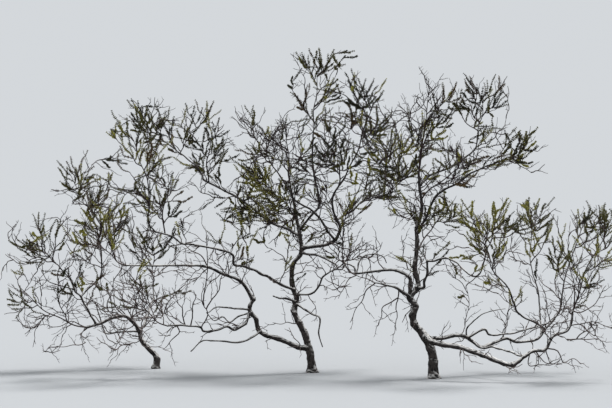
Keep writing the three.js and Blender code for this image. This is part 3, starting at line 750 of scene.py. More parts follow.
def growLimbSprays(name, seed):
    values, limb = limbSprayValues, limbs[name]
    fullness, longest, leafyShare = limbSprays[name]
    draw = stream(seed)
    owner, own = limbAsShoot(limb), limb["beads"]
    points, radius = joinBeads([other["beads"] for other in limbs.values() if other is not limb]
                               + [mass["stem"]["beads"] for mass in masses.values()])
    around = values["length"][1] * longest + values["around"]
    near = ((points > own["points"].min(0) - around) & (points < own["points"].max(0) + around)).all(1)
    points, radius = points[near], radius[near]
    kept = []

    def fitsHere(shoot):
        beads = shoot["beads"]
        mine, thick, t = beads["points"][1:], beads["radius"][1:], beads["t"][1:]
        if outOf(mine, plantLow, boxHigh - fineValues["boxRoom"]):
            return False
        if inGap(mine) or touches(mine, thick, points, radius, values["clearance"]):
            return False
        upper = t > values["rootPart"]
        return not touches(mine[upper], thick[upper], own["points"], own["radius"], values["clearance"])

    first = values["firstOnBough"] if limb["parent"] else values["firstOnStem"]
    count = int(limb["length"] * (1 - first) / values["spacing"] * fullness)
    for j in range(count):
        for attempt in range(values["tries"]):
            t = lerp(first, values["last"], (j + draw()) / count)
            length = lerp(*values["length"], draw() ** values["shortness"]) * longest
            turn = fullTurn * draw()
            opening = lerp(*values["opening"], draw())
            branchlet = fineShoot(owner, t, turn, opening, length, values["lift"], "branchlet")
            if fitsHere(branchlet):
                kept.append(branchlet)
                branchlet["tint"] = pickTint(usualTints, draw)
                leafy = draw() < leafyShare and branchlet["points"][-1][2] > values["lowestLeaves"]
                fillBranchlet(branchlet, leafy, draw, fitsHere, kept)
                break
    return kept


sprays = {name: growLimbSprays(name, limbSprayValues["seed"] + index)
          for index, name in enumerate(limbs)}
print("sprays along the limbs:", sum(len(kept) for kept in sprays.values()), "shoots")

# Branchlets that seek the open room inside the crown

seekValues = {
    "trials": 6000,
    "apart": 165,  # from one end to the next
    "free": 50,  # from wood that is already there
    "length": (130, 460),
    "aroundMass": (60, 100, 220, -15),  # across, back, down and up from a mass's box
    "boxedShoots": 60,  # that box is of the mass's first shoots, at most so many
    "aroundLimb": 260,
    "fullLimb": 1.7,  # fullness of a limb's sprays at which all the room round it is sought
    "firstOnStem": 0.4,
    "firstOnBough": 0.05,
    "farCost": 1.3,  # of a way to the end, and what is taken off where it rises
    "riseGain": 0.5,
    "follow": 0.7,  # how far one follows the wood that it leaves
    "bend": 0.45,  # the place where one bends
    "sag": 0.14,  # of the length, to any side
    "lowest": 100,
    "lowestLeaves": 620,
    "leafyOutside": 0.25,  # chance of leaves away from the masses
    "forwardness": 0.15,  # least turn along the wood that it leaves
    "clearance": 3,
    "seed": 61,
}
bearingKinds = ("stem", "twig", "branchlet", "reach")


# The stem that a limb springs from in the end.
def rootStem(name):
    while limbs[name]["parent"]:
        name = limbs[name]["parent"]
    return name


sideNames = {"centre_stem": "centre", "right_stem": "right", "left_stem": "left"}
allShoots = []


def addToCrown(shoots, side):
    for shoot in shoots:
        shoot["side"] = side
    allShoots.extend(shoots)


for mass in masses.values():
    addToCrown(mass["shoots"], sideNames[rootStem(mass["limb"])])
for name, kept in sprays.items():
    addToCrown(kept, sideNames[rootStem(name)])
limbOwners = {name: dict(limbAsShoot(limb), side=sideNames[rootStem(name)])
              for name, limb in limbs.items()}
limbBeads = joinBeads([limb["beads"] for limb in limbs.values()])


# True where a shoot keeps inside the plant's box, off the ground and clear of the limbs.
def clearOfLimbs(shoot, skip=1):
    points, radius = shoot["beads"]["points"][skip:], shoot["beads"]["radius"][skip:]
    if outOf(points, plantLow, plantHigh) or inGap(points):
        return False
    return not touches(points, radius, *limbBeads, seekValues["clearance"])


def nearestMass(point):
    return min(masses.values(), key=lambda mass: np.linalg.norm(mass["middle"] - point))


def tintsNear(point):
    return massTints.get(nearestMass(point)["name"], usualTints)


def seekRoom():
    values = seekValues
    draw = stream(values["seed"])
    owners, woodPoints, woodAlong, woodPlace = [], [], [], []
    across, back, down, high = values["aroundMass"]
    boxes = []
    for mass in masses.values():
        points = joinBeads([shoot["beads"] for shoot in mass["shoots"][:values["boxedShoots"]]])[0]
        boxes.append((points.min(0) - (across, back, down), points.max(0) + (across, back, high)))
    boxLows, boxHighs = np.array(boxes).swapaxes(0, 1)
    limbFull = np.hstack([np.full(len(limb["beads"]["t"]), limbSprays[name][0] / values["fullLimb"])
                          for name, limb in limbs.items()])

    def addWood(owner, skip=0):
        beads = owner["beads"]
        points = beads["points"]
        along = np.gradient(points, axis=0)
        along /= np.linalg.norm(along, axis=1)[:, None]
        for k in range(skip, len(points)):
            owners.append(owner)
            woodPoints.append(points[k])
            woodAlong.append(along[k])
            woodPlace.append(beads["t"][k])

    for name, limb in limbs.items():
        first = values["firstOnBough" if limb["parent"] else "firstOnStem"]
        addWood(limbOwners[name], skip=int(len(limb["beads"]["t"]) * first))
    for shoot in allShoots:
        if shoot["kind"] in bearingKinds:
            addWood(shoot, skip=1)
    filled = joinBeads([shoot["beads"] for shoot in allShoots])[0]
    ends = []
    wood = None
    for trial in range(values["trials"]):
        end = np.array([lerp(plantLow[k], plantHigh[k], draw()) for k in range(3)])
        chance = draw()
        if end[2] < values["lowest"]:
            continue
        inside = ((end > boxLows) & (end < boxHighs)).all(1).any()
        if not inside:
            away = np.linalg.norm(limbBeads[0] - end, axis=1)
            nearest = np.argmin(away)
            if away[nearest] > values["aroundLimb"] * limbFull[nearest] or chance > limbFull[nearest]:
                continue
        mass = nearestMass(end)
        apart = values["apart"] / math.sqrt(massFullness.get(mass["name"], 1))
        if ends and np.linalg.norm(np.array(ends) - end, axis=1).min() < apart:
            continue
        if np.linalg.norm(filled - end, axis=1).min() < values["free"]:
            continue
        if wood is None or len(wood) != len(woodPoints):
            wood, ways, places = np.array(woodPoints), np.array(woodAlong), np.array(woodPlace)
        toEnd = end - wood
        away = np.linalg.norm(toEnd, axis=1)
        forward = (toEnd * ways).sum(1) / np.maximum(away, 1)
        cost = away * (values["farCost"] - values["riseGain"] * toEnd[:, 2] / np.maximum(away, 1))
        shortest, longest = values["length"]
        cost[(away < shortest) | (away > longest) | (forward < values["forwardness"])] = np.inf
        root = np.argmin(cost)
        if np.isinf(cost[root]):
            continue
        length = away[root]
        heading = unit(ways[root] * values["follow"] + toEnd[root] / length)
        sag = np.array([draw() - 0.5, draw() - 0.5, draw() - 0.5]) * length * values["sag"]
        middle = wood[root] + heading * length * values["bend"] + sag
        owner = owners[root]
        shoot = makeShoot(np.array([wood[root], middle, end]), bareProfile, 3, length, owner)
        shoot.update(kind="branchlet", rootAt=places[root], tint=pickTint(tintsNear(end), draw))
        addBeads(shoot)
        beads = shoot["beads"]
        upper = beads["t"] > ruleValues["rootPart"]
        if inGap(beads["points"]) or touches(beads["points"][upper], beads["radius"][upper], *limbBeads,
                                             values["clearance"]):
            continue
        kept = [shoot]
        leafy = mass["leafy"] * (fineValues["leafySprays"] if inside else values["leafyOutside"])
        leafy *= end[2] > values["lowestLeaves"]
        fillBranchlet(shoot, draw() < leafy, draw, clearOfLimbs, kept)
        addToCrown(kept, owner["side"])
        ends.append(end)
        addWood(shoot, skip=2)


before = len(allShoots)
seekRoom()
print("branchlets in the open room:", len(allShoots) - before, "shoots")

# Shoots placed by where they show from the front, across and up, from the root to the tip

shownValues = {
    "search": 400,  # for the wood that one springs from
    "near": 30,  # closer than this, one springs straight from the wood
    "preferLimbs": 25,
    "drift": 0.5,  # to the back or the front, of the length
    "combStep": 32,
    "combLength": (45, 95),
    "combTaper": 0.4,
    "combPlaces": (0.7, 0.3),
    "combOpening": 1.2,
    "combSway": 0.25,
    "combLift": 0.1,
    "clumpReach": (70, 230),  # length of a clump's shoots as they show
    "clumpBelow": 15,  # how far above a tip its wood may show
    "clumpBend": 0.25,
    "clumpDepth": 120,
    "clumpTries": 8,
    "seed": 33,
}
leafyShown = [
    [(-1557, 1989), (-1629, 2052), (-1683, 2169)],
    [(-1593, 1944), (-1692, 1953), (-1728, 2034)],
    [(-1638, 1800), (-1737, 1854), (-1746, 1971)],
    [(-2115, 1602), (-2214, 1674), (-2214, 1845)],
    [(-2052, 1674), (-2124, 1782), (-2200, 1840)],
    [(-2043, 1656), (-2016, 1719), (-1971, 1782)],
    [(-1098, 2142), (-972, 2250), (-891, 2412)],
    [(-1188, 2205), (-1143, 2295), (-1116, 2385)],
    [(-1098, 2187), (-1089, 2259), (-1053, 2349)],
    [(-1458, 2205), (-1548, 2286), (-1593, 2385)],
    [(-1476, 2169), (-1539, 2196), (-1602, 2232)],
    [(-1458, 1746), (-1440, 1908), (-1404, 2016)],
    [(-1440, 1800), (-1341, 1908), (-1278, 1935)],
    [(-1260, 1638), (-1242, 1728), (-1251, 1764)],
    [(-378, 2070), (-504, 2232), (-639, 2286)],
    [(-567, 1521), (-549, 1638), (-585, 1746)],
    [(-711, 1332), (-783, 1377), (-855, 1431)],
    [(-792, 1377), (-765, 1458), (-738, 1512)],
    [(-27, 2286), (-99, 2430), (-189, 2520)],
    [(-45, 2331), (-54, 2394), (-63, 2466)],
    [(45, 2808), (45, 2852), (45, 2895)],
    [(9, 2754), (-45, 2745), (-99, 2790)],
    [(72, 2691), (171, 2736), (297, 2772)],
    [(414, 2439), (342, 2592), (297, 2700)],
    [(333, 2583), (360, 2628), (405, 2682)],
    [(459, 2448), (504, 2529), (549, 2610)],
    [(486, 2421), (531, 2502), (594, 2583)],
    [(531, 2358), (567, 2439), (630, 2502)],
    [(1494, 2511), (1440, 2610), (1368, 2691)],
    [(1584, 2394), (1593, 2511), (1584, 2628)],
    [(1647, 2376), (1692, 2439), (1764, 2511)],
    [(1629, 2358), (1701, 2394), (1764, 2412)],
    [(1224, 2376), (1251, 2466), (1269, 2556)],
    [(1305, 2403), (1332, 2475), (1350, 2547)],
    [(1836, 1908), (1935, 1944), (2025, 2043)],
    [(1755, 2025), (1809, 2106), (1872, 2178)],
    [(1845, 1926), (1881, 1998), (1899, 2070)],
    [(1971, 1314), (1962, 1422), (1953, 1521)],
    [(1800, 1278), (1755, 1341), (1719, 1404)],
    [(700, 1690), (500, 1645), (320, 1590)],
    [(640, 1575), (760, 1553), (870, 1560)],
    [(610, 1760), (730, 1700), (860, 1690)],
]
combShown = [  # bare, with spurs in a row: -1 for the right side and 1 for the left
    (1, [(700, 2180), (954, 2376), (1098, 2547)]),
    (-1, [(1080, 2538), (1017, 2640), (963, 2754)]),
    (1, [(684, 2268), (612, 2385), (576, 2466)]),
]
bareShown = [
    [(-1647, 477), (-1719, 531), (-1764, 612), (-1791, 720)],
    [(-1629, 495), (-1548, 549), (-1467, 603), (-1395, 657), (-1296, 702)],
    [(-1611, 486), (-1602, 603), (-1557, 720), (-1512, 783)],
    [(-1521, 378), (-1476, 450), (-1413, 504), (-1350, 540)],
    [(-1647, 495), (-1773, 531), (-1863, 558), (-1944, 612), (-2052, 675)],
    [(-1611, 486), (-1728, 567), (-1836, 585), (-1935, 630), (-2052, 675)],
    [(-2142, 738), (-2223, 765), (-2313, 801), (-2376, 837), (-2421, 900), (-2430, 990)],
    [(-2034, 405), (-2097, 441), (-2178, 450), (-2268, 423), (-2376, 396)],
    [(-1341, 540), (-1386, 603), (-1404, 684), (-1440, 792)],
    [(-1332, 549), (-1278, 666), (-1206, 729), (-1134, 800)],
    [(-1134, 468), (-1170, 558), (-1197, 630), (-1260, 765)],
    [(-1098, 468), (-1071, 576), (-1044, 684), (-1107, 740)],
    [(-1215, 423), (-1197, 351), (-1278, 270), (-1341, 207)],
    [(-972, 423), (-936, 549), (-999, 640), (-972, 760)],
    [(-873, 603), (-846, 738), (-801, 873), (-760, 960)],
    [(-963, 630), (-954, 850), (-945, 1143), (-940, 1240)],
    [(-936, 945), (-1008, 1053), (-1098, 1116), (-1143, 1143)],
    [(-1521, 770), (-1593, 837), (-1692, 918), (-1800, 981)],
    [(-1485, 620), (-1530, 666), (-1584, 756), (-1674, 801), (-1782, 828)],
    [(216, 900), (333, 1044), (324, 1200), (342, 1440)],
    [(567, 800), (495, 738), (441, 648), (396, 560), (342, 450)],
    [(765, 720), (765, 603), (756, 486), (756, 378)],
    [(747, 675), (657, 603), (621, 513), (594, 423)],
    [(891, 648), (882, 567), (846, 513), (810, 450)],
    [(2340, 576), (2394, 666), (2520, 882), (2619, 1035)],
    [(2358, 594), (2367, 693), (2349, 810), (2322, 909), (2358, 963), (2412, 1026)],
    [(2385, 648), (2403, 738), (2403, 873), (2394, 972)],
    [(2340, 558), (2430, 540), (2529, 603), (2601, 720), (2646, 783)],
    [(2286, 270), (2385, 288), (2457, 306), (2574, 297), (2640, 234)],
    [(2367, 288), (2439, 360), (2520, 423), (2610, 459)],
    [(2151, 441), (2106, 648), (2070, 765)],
    [(2250, 648), (2205, 693), (2097, 783), (1998, 918)],
    [(1971, 150), (1944, 90), (1980, 60), (2060, 62), (2142, 70), (2223, 110)],
    [(2010, 190), (2050, 130), (2110, 90), (2180, 75)],
    [(2124, 198), (2205, 189), (2259, 99), (2322, 117), (2376, 110), (2420, 75)],
    [(2100, 205), (2115, 140), (2160, 85), (2250, 78)],
]


# Every piece of wood that a shoot may spring from, and where it shows.
def woodNow():
    owners = list(limbOwners.values())
    owners += [shoot for shoot in allShoots if shoot["kind"] in bearingKinds]
    points = joinBeads([owner["beads"] for owner in owners])[0]
    index = np.hstack([np.full(len(owner["beads"]["t"]), k) for k, owner in enumerate(owners)])
    places = np.hstack([owner["beads"]["t"] for owner in owners])
    return owners, index, places, points, seen(points)[:, [0, 2]]


# A shoot along a given path.
def addPath(path, kind, owner, rootAt, leafy, draw):
    path = np.array(path)
    places = np.linspace(0, 1, 4 * (len(path) - 1) + 1)
    shoot = {"path": path, "t": places, "points": alongPath(path, places), "kind": kind, "leafy": leafy,
             "length": pathLength(path, 40), "radius": lerp(*woodRadii[kind], places), "owner": owner,
             "rootAt": rootAt, "tint": pickTint(tintsNear(path[-1]), draw)}
    addBeads(shoot)
    addToCrown([shoot], owner["side"])
    return shoot


# Grows a shoot through shown points from the wood that shows nearest to the first of them.
def growShown(row, sort, draw, comb=0):
    values = shownValues
    spots = np.array(row, float)
    owners, index, places, points, shown = woodNow()
    away = np.linalg.norm(shown - spots[0], axis=1)
    if sort == "reach":
        away += np.where(index < len(limbOwners), 0, values["preferLimbs"])
    best = np.argmin(away)
    if away[best] > values["search"]:
        return
    owner, rootAt, root = owners[index[best]], places[best], points[best]
    drift = (draw() - 0.5) * values["drift"]
    run = np.concatenate([[0], np.cumsum(np.linalg.norm(np.diff(spots, axis=0), axis=1))])
    path = [place((*spot, root[1] + drift * reach)) for spot, reach in zip(spots, run)]
    if sort == "reach" or away[best] < values["near"]:
        path[0] = root
    else:
        owner, rootAt = addPath([root, path[0]], "branchlet", owner, rootAt, False, draw), 1.0
    shoot = addPath(path, sort, owner, rootAt, sort == "leafy", draw)
    if sort == "reach":
        kept = []
        fillBranchlet(shoot, False, draw, clearOfLimbs, kept)
        addToCrown(kept, owner["side"])
    if comb:
        growComb(shoot, comb, draw)


# Spurs in a row on one side of a bare shoot.
def growComb(shoot, hand, draw):
    values = shownValues
    count = int(shoot["length"] / values["combStep"])
    for k in range(count):
        t = (k + values["combPlaces"][0] + values["combPlaces"][1] * draw()) / (count + 0.5)
        point, _, along = shootAt(shoot, t)
        sway = values["combSway"] * (draw() - 0.5)
        aside = unit(np.array([-along[0][2], sway, along[0][0]])) * hand
        heading = unit(aroundLine((along[0], aside), values["combOpening"]))
        length = lerp(*values["combLength"], draw()) * (1 - values["combTaper"] * k / count)
        spur = liftShoot(point[0], heading, length, values["combLift"], bareProfile, shoot)
        spur.update(kind="spur", rootAt=t, tint=0, leafy=False)
        addBeads(spur)
        addToCrown([spur], shoot["side"])


clumps = [  # middle and half size across and up, number of shoots, and share of them with leaves
    (-540, 1476, 150, 110, 26, 1.0),
    (-720, 1420, 130, 80, 14, 0.9),
    (-400, 1560, 110, 160, 14, 0.8),
    (-270, 1510, 110, 110, 9, 0.8),
    (-1737, 1512, 150, 180, 14, 0.6),
    (-1370, 1990, 130, 230, 14, 0.8),
    (-1953, 1548, 110, 130, 7, 0.7),
    (-1350, 2310, 100, 90, 3, 1.0),
    (-650, 1950, 100, 120, 6, 0.5),
    (700, 1800, 220, 180, 26, 0.85),
    (-20, 1840, 330, 180, 22, 0.45),
    (54, 2340, 130, 130, 11, 0.6),
    (300, 2120, 100, 150, 9, 0.6),
    (405, 2403, 90, 90, 7, 0.8),
    (1080, 2223, 110, 230, 18, 0.8),
    (1700, 1910, 100, 70, 9, 0.9),
    (-1500, 1700, 100, 130, 12, 0.5),
    (-1660, 1440, 90, 80, 8, 0.5),
    (720, 1600, 160, 70, 14, 0.6),
    (850, 1850, 130, 120, 12, 0.8),
    (-130, 1440, 80, 80, 9, 0.1),
    (-130, 1740, 80, 80, 6, 0.2),
    (200, 2290, 130, 110, 11, 0.6),
    (480, 2350, 80, 80, 5, 0.8),
    (1150, 2050, 130, 80, 8, 0.6),
    (1600, 2200, 130, 80, 11, 0.7),
    (-1950, 1700, 90, 90, 9, 0.8),
    (-1960, 1500, 90, 90, 8, 0.7),
    (-1640, 1600, 90, 160, 11, 0.6),
    (-1500, 1750, 70, 70, 5, 0.6),
    (630, 1750, 60, 60, 8, 0.7),
    (1210, 2350, 70, 70, 5, 0.8),
    (-440, 1600, 80, 80, 7, 0.7),
    (-600, 1440, 150, 80, 8, 0.8),
    (-230, 1900, 120, 80, 8, 0.2),
    (-590, 1900, 80, 80, 5, 0.3),
]


# A crowd of shoots whose tips show inside an oval, each from wood that shows a little below it.
def growClump(across, high, wide, tall, count, leafyShare, draw):
    values = shownValues
    least, most = values["clumpReach"]
    owners, index, places, points, shown = woodNow()
    for k in range(count):
        leafy = draw() < leafyShare
        for attempt in range(values["clumpTries"]):
            turn, out = fullTurn * draw(), math.sqrt(draw())
            tip = np.array([across + wide * out * math.cos(turn), high + tall * out * math.sin(turn)])
            away = np.linalg.norm(shown - tip, axis=1)
            close = (away > least) & (away < most) & (shown[:, 1] < tip[1] + values["clumpBelow"])
            close = np.flatnonzero(close)
            if not len(close):
                continue
            best = close[int(draw() * len(close))]
            root, start = points[best], shown[best]
            bulge = (draw() - 0.5) * values["clumpBend"]
            middle = (start + tip) / 2 + bulge * np.array([start[1] - tip[1], tip[0] - start[0]])
            back = root[1] + (draw() - 0.5) * values["clumpDepth"]
            path = [root, place((*middle, (root[1] + back) / 2)), place((*tip, back))]
            kind = "leafy" if leafy else "branchlet"
            shoot = addPath(path, kind, owners[index[best]], places[best], leafy, draw)
            if clearOfLimbs(shoot, skip=4):
                break
            allShoots.pop()


shownDraw = stream(shownValues["seed"])
for row in bareShown:
    growShown(row, "reach", shownDraw)
for row in leafyShown:
    growShown(row, "leafy", shownDraw)
for hand, row in combShown:
    growShown(row, "branchlet", shownDraw, comb=hand)
for clump in clumps:
    growClump(*clump, shownDraw)
print("shoots in all:", len(allShoots))

# Small dead limbs without twigs; they take the same bark as the other limbs, with its painted highlight
# on the tops

snags = {
    "stem_snag_left": limbOf("centre_stem", 24, 13, (-150, 640), (-230, 665, -70), (-290, 668, -100),
        (-351, 690, -120)),
    "stem_snag_right": limbOf("centre_stem", 22, 9, (-145, 615), (0, 530, -90), (70, 480, -130),
        (60, 350, -150), (95, 230, -160)),
    "pale_bough": limbOf("centre_stem", 23, 14, (-95, 1075), (0, 1062, -60), (100, 1035, -120),
        (190, 985, -180), (235, 940, -215)),
    "arched_snag": limbOf("left_arm", 15, 8, (400, 890), (420, 985, -480), (470, 1050, -460),
        (560, 1065, -450), (640, 1040, -440), (670, 985, -430)),
    "curved_snag": limbOf("low_upper_arm", 14, 7, (1386, 320), (1395, 400, -380), (1450, 460, -400),
        (1540, 530, -420), (1650, 560, -430), (1740, 575, -440)),
    "middle_arm": limbOf("low_upper_arm", 22, 11, (1395, 318), (1540, 387, -330), (1590, 345, -320),
        (1650, 342, -310), (1800, 355, -290), (1980, 405, -260), (2120, 445, -220)),
    "low_left_snag": limbOf("low_left_limb", 20, 9, (-558, 570), (-640, 570, -220), (-780, 585, -260),
        (-870, 585, -300), (-930, 540, -330)),
    "linking_arm": limbOf("low_upper_arm", 20, 15, (1450, 285), (1520, 225, -400), (1602, 232, -520),
        (1692, 216, -640), (1782, 189, -760), (1872, 155, -880), (1935, 152, -985)),
    "small_hook": limbOf("left_arm", 17, 9, (390, 888), (382, 945, -500), (345, 968, -480),
        (306, 980, -470), (280, 1015, -460), (262, 1050, -450)),
    "elbow_limb": limbOf("left_stem", 20, 10, (-1545, 370), (-1600, 372, 500), (-1629, 369, 520),
        (-1720, 368, 540), (-1836, 351, 560), (-1875, 390, 570), (-1915, 520, 580), (-1950, 640, 590)),
    "bottom_snag": limbOf("low_left_limb", 21, 10, (-460, 375), (-540, 315, -230), (-648, 270, -260),
        (-783, 280, -290), (-900, 285, -310), (-990, 280, -330), (-1090, 190, -350)),
    "looped_snag": limbOf("low_left_limb", 16, 8, (-555, 540), (-660, 505, -200), (-740, 450, -215),
        (-800, 500, -230), (-880, 470, -250), (-950, 540, -270)),
}
for limb in snags.values():
    limb["points"] = limbPoints(limb)
    limb["length"] = pathLength(limb["points"])

# Lines that the wood and the leaves follow

lineValues = {
    "step": 20,  # from point to point
    "fineStep": 26,
    "sway": 0.035,  # of the length, up to that of swayLength
    "swayLength": 300,
    "kink": 1.3,  # sideways at each node of a bare twig
    "arc": 0.05,  # of the length, on a leafy shoot
    "leftArc": 0.1,
    "leftOf": -600,
    "seed": 1500,
}
fineKinds = ("spike", "twiglet", "spur")
ruledKinds = ("stem", "twig", "leafy", "bare")


# The drawn line of a shoot: its curve, with a slow sway and small kinks, set on its owner's line.
def drawLine(shoot, draw):
    values, kind, owner = lineValues, shoot["kind"], shoot["owner"]
    segments = max(2, math.ceil(shoot["length"] / values["step" if kind in ruledKinds else "fineStep"]))
    u = np.arange(segments + 1) / segments
    points = alongPath(shoot["path"], u) if "path" in shoot else alongBend(shoot["bend"], u)
    side, other = squareTo(unit(points[-1] - points[0]))
    envelope = np.sin(math.pi * u) ** 0.7 * (min(shoot["length"], values["swayLength"]) * values["sway"])
    swayOne = np.sin(2 * math.pi * (u * (1 + draw()) + draw()))
    swayTwo = np.sin(2 * math.pi * (u * (1 + draw()) + draw()))
    points = points + envelope[:, None] * (swayOne[:, None] * side + swayTwo[:, None] * other)
    if kind in ("leafy", "spike", "twig"):
        arc = values["leftArc" if points[0, 0] < values["leftOf"] else "arc"] * (draw() - 0.5) * 2
        points = points + (np.sin(math.pi * u * 0.75) * shoot["length"] * arc)[:, None] * side
    if kind not in ("leafy", "spike", "stem"):
        zigzag = np.where(np.arange(segments + 1) % 2, 1, -1) * values["kink"]
        zigzag[0] = zigzag[-1] = 0
        points = points + zigzag[:, None] * side
    if owner is not None and "line" in owner:
        points = points + (onLine(owner, shoot["rootAt"]) - points[0]) * (1 - u[:, None]) ** 2
    shoot["line"], shoot["u"] = points, u
    if kind == "stem":
        shoot["wood"] = np.interp(u, shoot["t"], shoot["radius"])
    else:
        shoot["wood"] = lerp(*woodRadii[kind], u ** 0.8)


def onLine(shoot, t):
    return np.array([np.interp(t, shoot["u"], shoot["line"][:, k]) for k in range(3)])


# The leaf-bearing part of a shoot's line.
leafSpans = {"twig": (0.62, 1.0), "leafy": (0.09, 1.0), "spike": (0.09, 1.0), "branchlet": (0.55, 1.0),
             "twiglet": (0.25, 1.0)}


def leafSpan(shoot):
    return leafSpans.get(shoot["kind"]) if shoot["leafy"] else None


# Place of each ruled shoot's root on its owner, found again from its first point.
def rootPlace(shoot):
    owner, root = shoot["owner"], shoot["bend"][0]
    nearest, where = math.inf, 0
    for k in range(len(owner["points"]) - 1):
        start, step = owner["points"][k], owner["points"][k + 1] - owner["points"][k]
        share = min(max(np.dot(root - start, step) / np.dot(step, step), 0), 1)
        distance = np.linalg.norm(start + step * share - root)
        if distance < nearest:
            nearest, where = distance, lerp(owner["t"][k], owner["t"][k + 1], share)
    return where


metres = {}
lineDraw = stream(lineValues["seed"])
for shoot in allShoots:
    if shoot["owner"] is not None and "rootAt" not in shoot:
        shoot["rootAt"] = rootPlace(shoot)
    drawLine(shoot, lineDraw)
    kind = shoot["kind"] + ("Leafy" if leafSpan(shoot) else "")
    metres[kind] = metres.get(kind, 0) + shoot["length"] * metre
print("metres:", {kind: round(total) for kind, total in metres.items()})

# Mesh helpers


def plainMesh(name, points, edges, faces):
    mesh = bpy.data.meshes.new(name)
    mesh.from_pydata(points, edges, faces)
    return bpy.data.objects.new(name, mesh)


def meshObject(name, points, edges, faces, attributes=()):
    obj = plainMesh(name, points, edges, faces)
    for key, values in attributes:
        layer = obj.data.attributes.new(key, "FLOAT", "POINT")
        layer.data.foreach_set("value", np.asarray(values, np.float32))
    bpy.context.scene.collection.objects.link(obj)
    return obj


# One object of many separate lines, each point with its thickness.
def linesObject(name, lines):
    points, thick, edges, count = [], [], [], 0
    for line, radius in lines:
        points.append(line * metre)
        thick.append(radius * metre)
        edges += [(count + k, count + k + 1) for k in range(len(line) - 1)]
        count += len(line)
    return meshObject(name, np.vstack(points).tolist(), edges, [], [("thickness", np.hstack(thick))])


# A node with its settings, and with a value or a link for each input that is given.
def makeNode(tree, kind, values=(), **settings):
    node = tree.nodes.new(kind)
    for key, value in settings.items():
        setattr(node, key, value)
    for key, value in dict(values).items():
        socket = node.inputs[key]
        if isinstance(value, bpy.types.NodeSocket):
            tree.links.new(value, socket)
        else:
            socket.default_value = value
    return node


def mathOf(tree, operation, *values):
    return makeNode(tree, "ShaderNodeMath", enumerate(values), operation=operation).outputs[0]


# A value moved from one range to another, and kept inside it.
def rangeOf(tree, value, low, high, newLow=0.0, newHigh=1.0, smooth=False):
    ends = {"Value": value, "From Min": low, "From Max": high, "To Min": newLow, "To Max": newHigh}
    kind = "SMOOTHSTEP" if smooth else "LINEAR"
    return makeNode(tree, "ShaderNodeMapRange", ends, interpolation_type=kind).outputs[0]


def mixOf(tree, share, first, second, blend="MIX"):
    colours = {"Factor": share, 6: first, 7: second}
    return makeNode(tree, "ShaderNodeMix", colours, data_type="RGBA", blend_type=blend).outputs[2]


def noiseOf(tree, where, scale, detail, roughness):
    values = {"Vector": where, "Scale": scale, "Detail": detail, "Roughness": roughness}
    return makeNode(tree, "ShaderNodeTexNoise", values).outputs["Fac"]


def randomOf(tree, seed, low, high):
    values = {2: low, 3: high, "Seed": seed}
    return makeNode(tree, "FunctionNodeRandomValue", values, data_type="FLOAT").outputs[1]


def namedOf(tree, name):
    values = {"Name": name}
    return makeNode(tree, "GeometryNodeInputNamedAttribute", values, data_type="FLOAT").outputs[0]


# Starts a geometry tree with named inputs, and returns it with its input node's outputs.
def startTree(name, inputs):
    tree = bpy.data.node_groups.new(name, "GeometryNodeTree")
    tree.interface.new_socket("Geometry", in_out="INPUT", socket_type="NodeSocketGeometry")
    for label, kind in inputs.items():
        tree.interface.new_socket(label, in_out="INPUT", socket_type="NodeSocket" + kind)
    tree.interface.new_socket("Geometry", in_out="OUTPUT", socket_type="NodeSocketGeometry")
    return tree, tree.nodes.new("NodeGroupInput").outputs


def endTree(tree, geometry, finish):
    realized = makeNode(tree, "GeometryNodeRealizeInstances", {"Geometry": geometry})
    coated = {"Geometry": realized.outputs[0], "Material": finish}
    painted = makeNode(tree, "GeometryNodeSetMaterial", coated)
    makeNode(tree, "NodeGroupOutput", {"Geometry": painted.outputs[0]})
    return tree


# Runs a geometry tree on an object and leaves its result as a plain mesh.
def applyTree(obj, tree, values):
    modifier = obj.modifiers.new(tree.name, "NODES")
    modifier.node_group = tree
    for item in tree.interface.items_tree:
        if item.in_out == "INPUT" and item.name in values:
            modifier[item.identifier] = values[item.name]
    bpy.context.view_layer.update()
    shown = obj.evaluated_get(bpy.context.evaluated_depsgraph_get())
    mesh = bpy.data.meshes.new_from_object(shown)
    mesh.name = obj.name
    obj.modifiers.remove(modifier)
    obj.data = mesh


def finishPiece(obj, nodes):
    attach(obj, "root")
    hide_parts(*nodes)
    print(obj.name, sum(len(face.vertices) - 2 for face in obj.data.polygons), "triangles")


# Materials

weatheringAndPaintedLightValues = {  # pairs are the ends of a range
    "patches": (4.0, 0.6),  # detail and roughness of the noise
    "grain": (3.0, 0.65),
    "unevenness": 1.1,
    "hollow": (0.2, 0.62),  # relief from a hollow to the body
    "worn": (0.15, 0.5),  # relief from unworn to worn, which takes the painted highlight
    "skyward": (0.1, 0.55),  # upward turn of the surface from no painted highlight to the full painted highlight on the tops
    # downward turn of the surface from no painted shade to the full painted shade on the undersides
    "underside": (0.2, -0.7),
    "undersideShade": 0.75,
    "upperWoodHeight": (0.95, 1.5),  # metres, from the lower wood to the upper wood
    # share of the painted highlight left on the upper wood
    "upperPaintedHighlight": 0.2,
    # how much darker the upper wood is all round
    "upperDarkness": 0.4,
    "speck": (0.3, 0.7),
    "speckShade": (0.72, 1.12),
    "roughness": (0.78, 0.95),
}
mottleValues = {"clouds": (3.0, 0.7), "spread": (0.32, 0.68), "roughness": (0.5, 0.72)}


def shaderGroup(name, inputs, outputs):
    tree = bpy.data.node_groups.new(name, "ShaderNodeTree")
    for label, kind in inputs.items():
        tree.interface.new_socket(label, in_out="INPUT", socket_type="NodeSocket" + kind)
    for label, kind in outputs.items():
        tree.interface.new_socket(label, in_out="OUTPUT", socket_type="NodeSocket" + kind)
    return tree, tree.nodes.new("NodeGroupInput").outputs, tree.nodes.new("NodeGroupOutput").inputs


def colour(red, green, blue):
    return tuple(((c / 255 + 0.055) / 1.055) ** 2.4 for c in (red, green, blue)) + (1.0,)
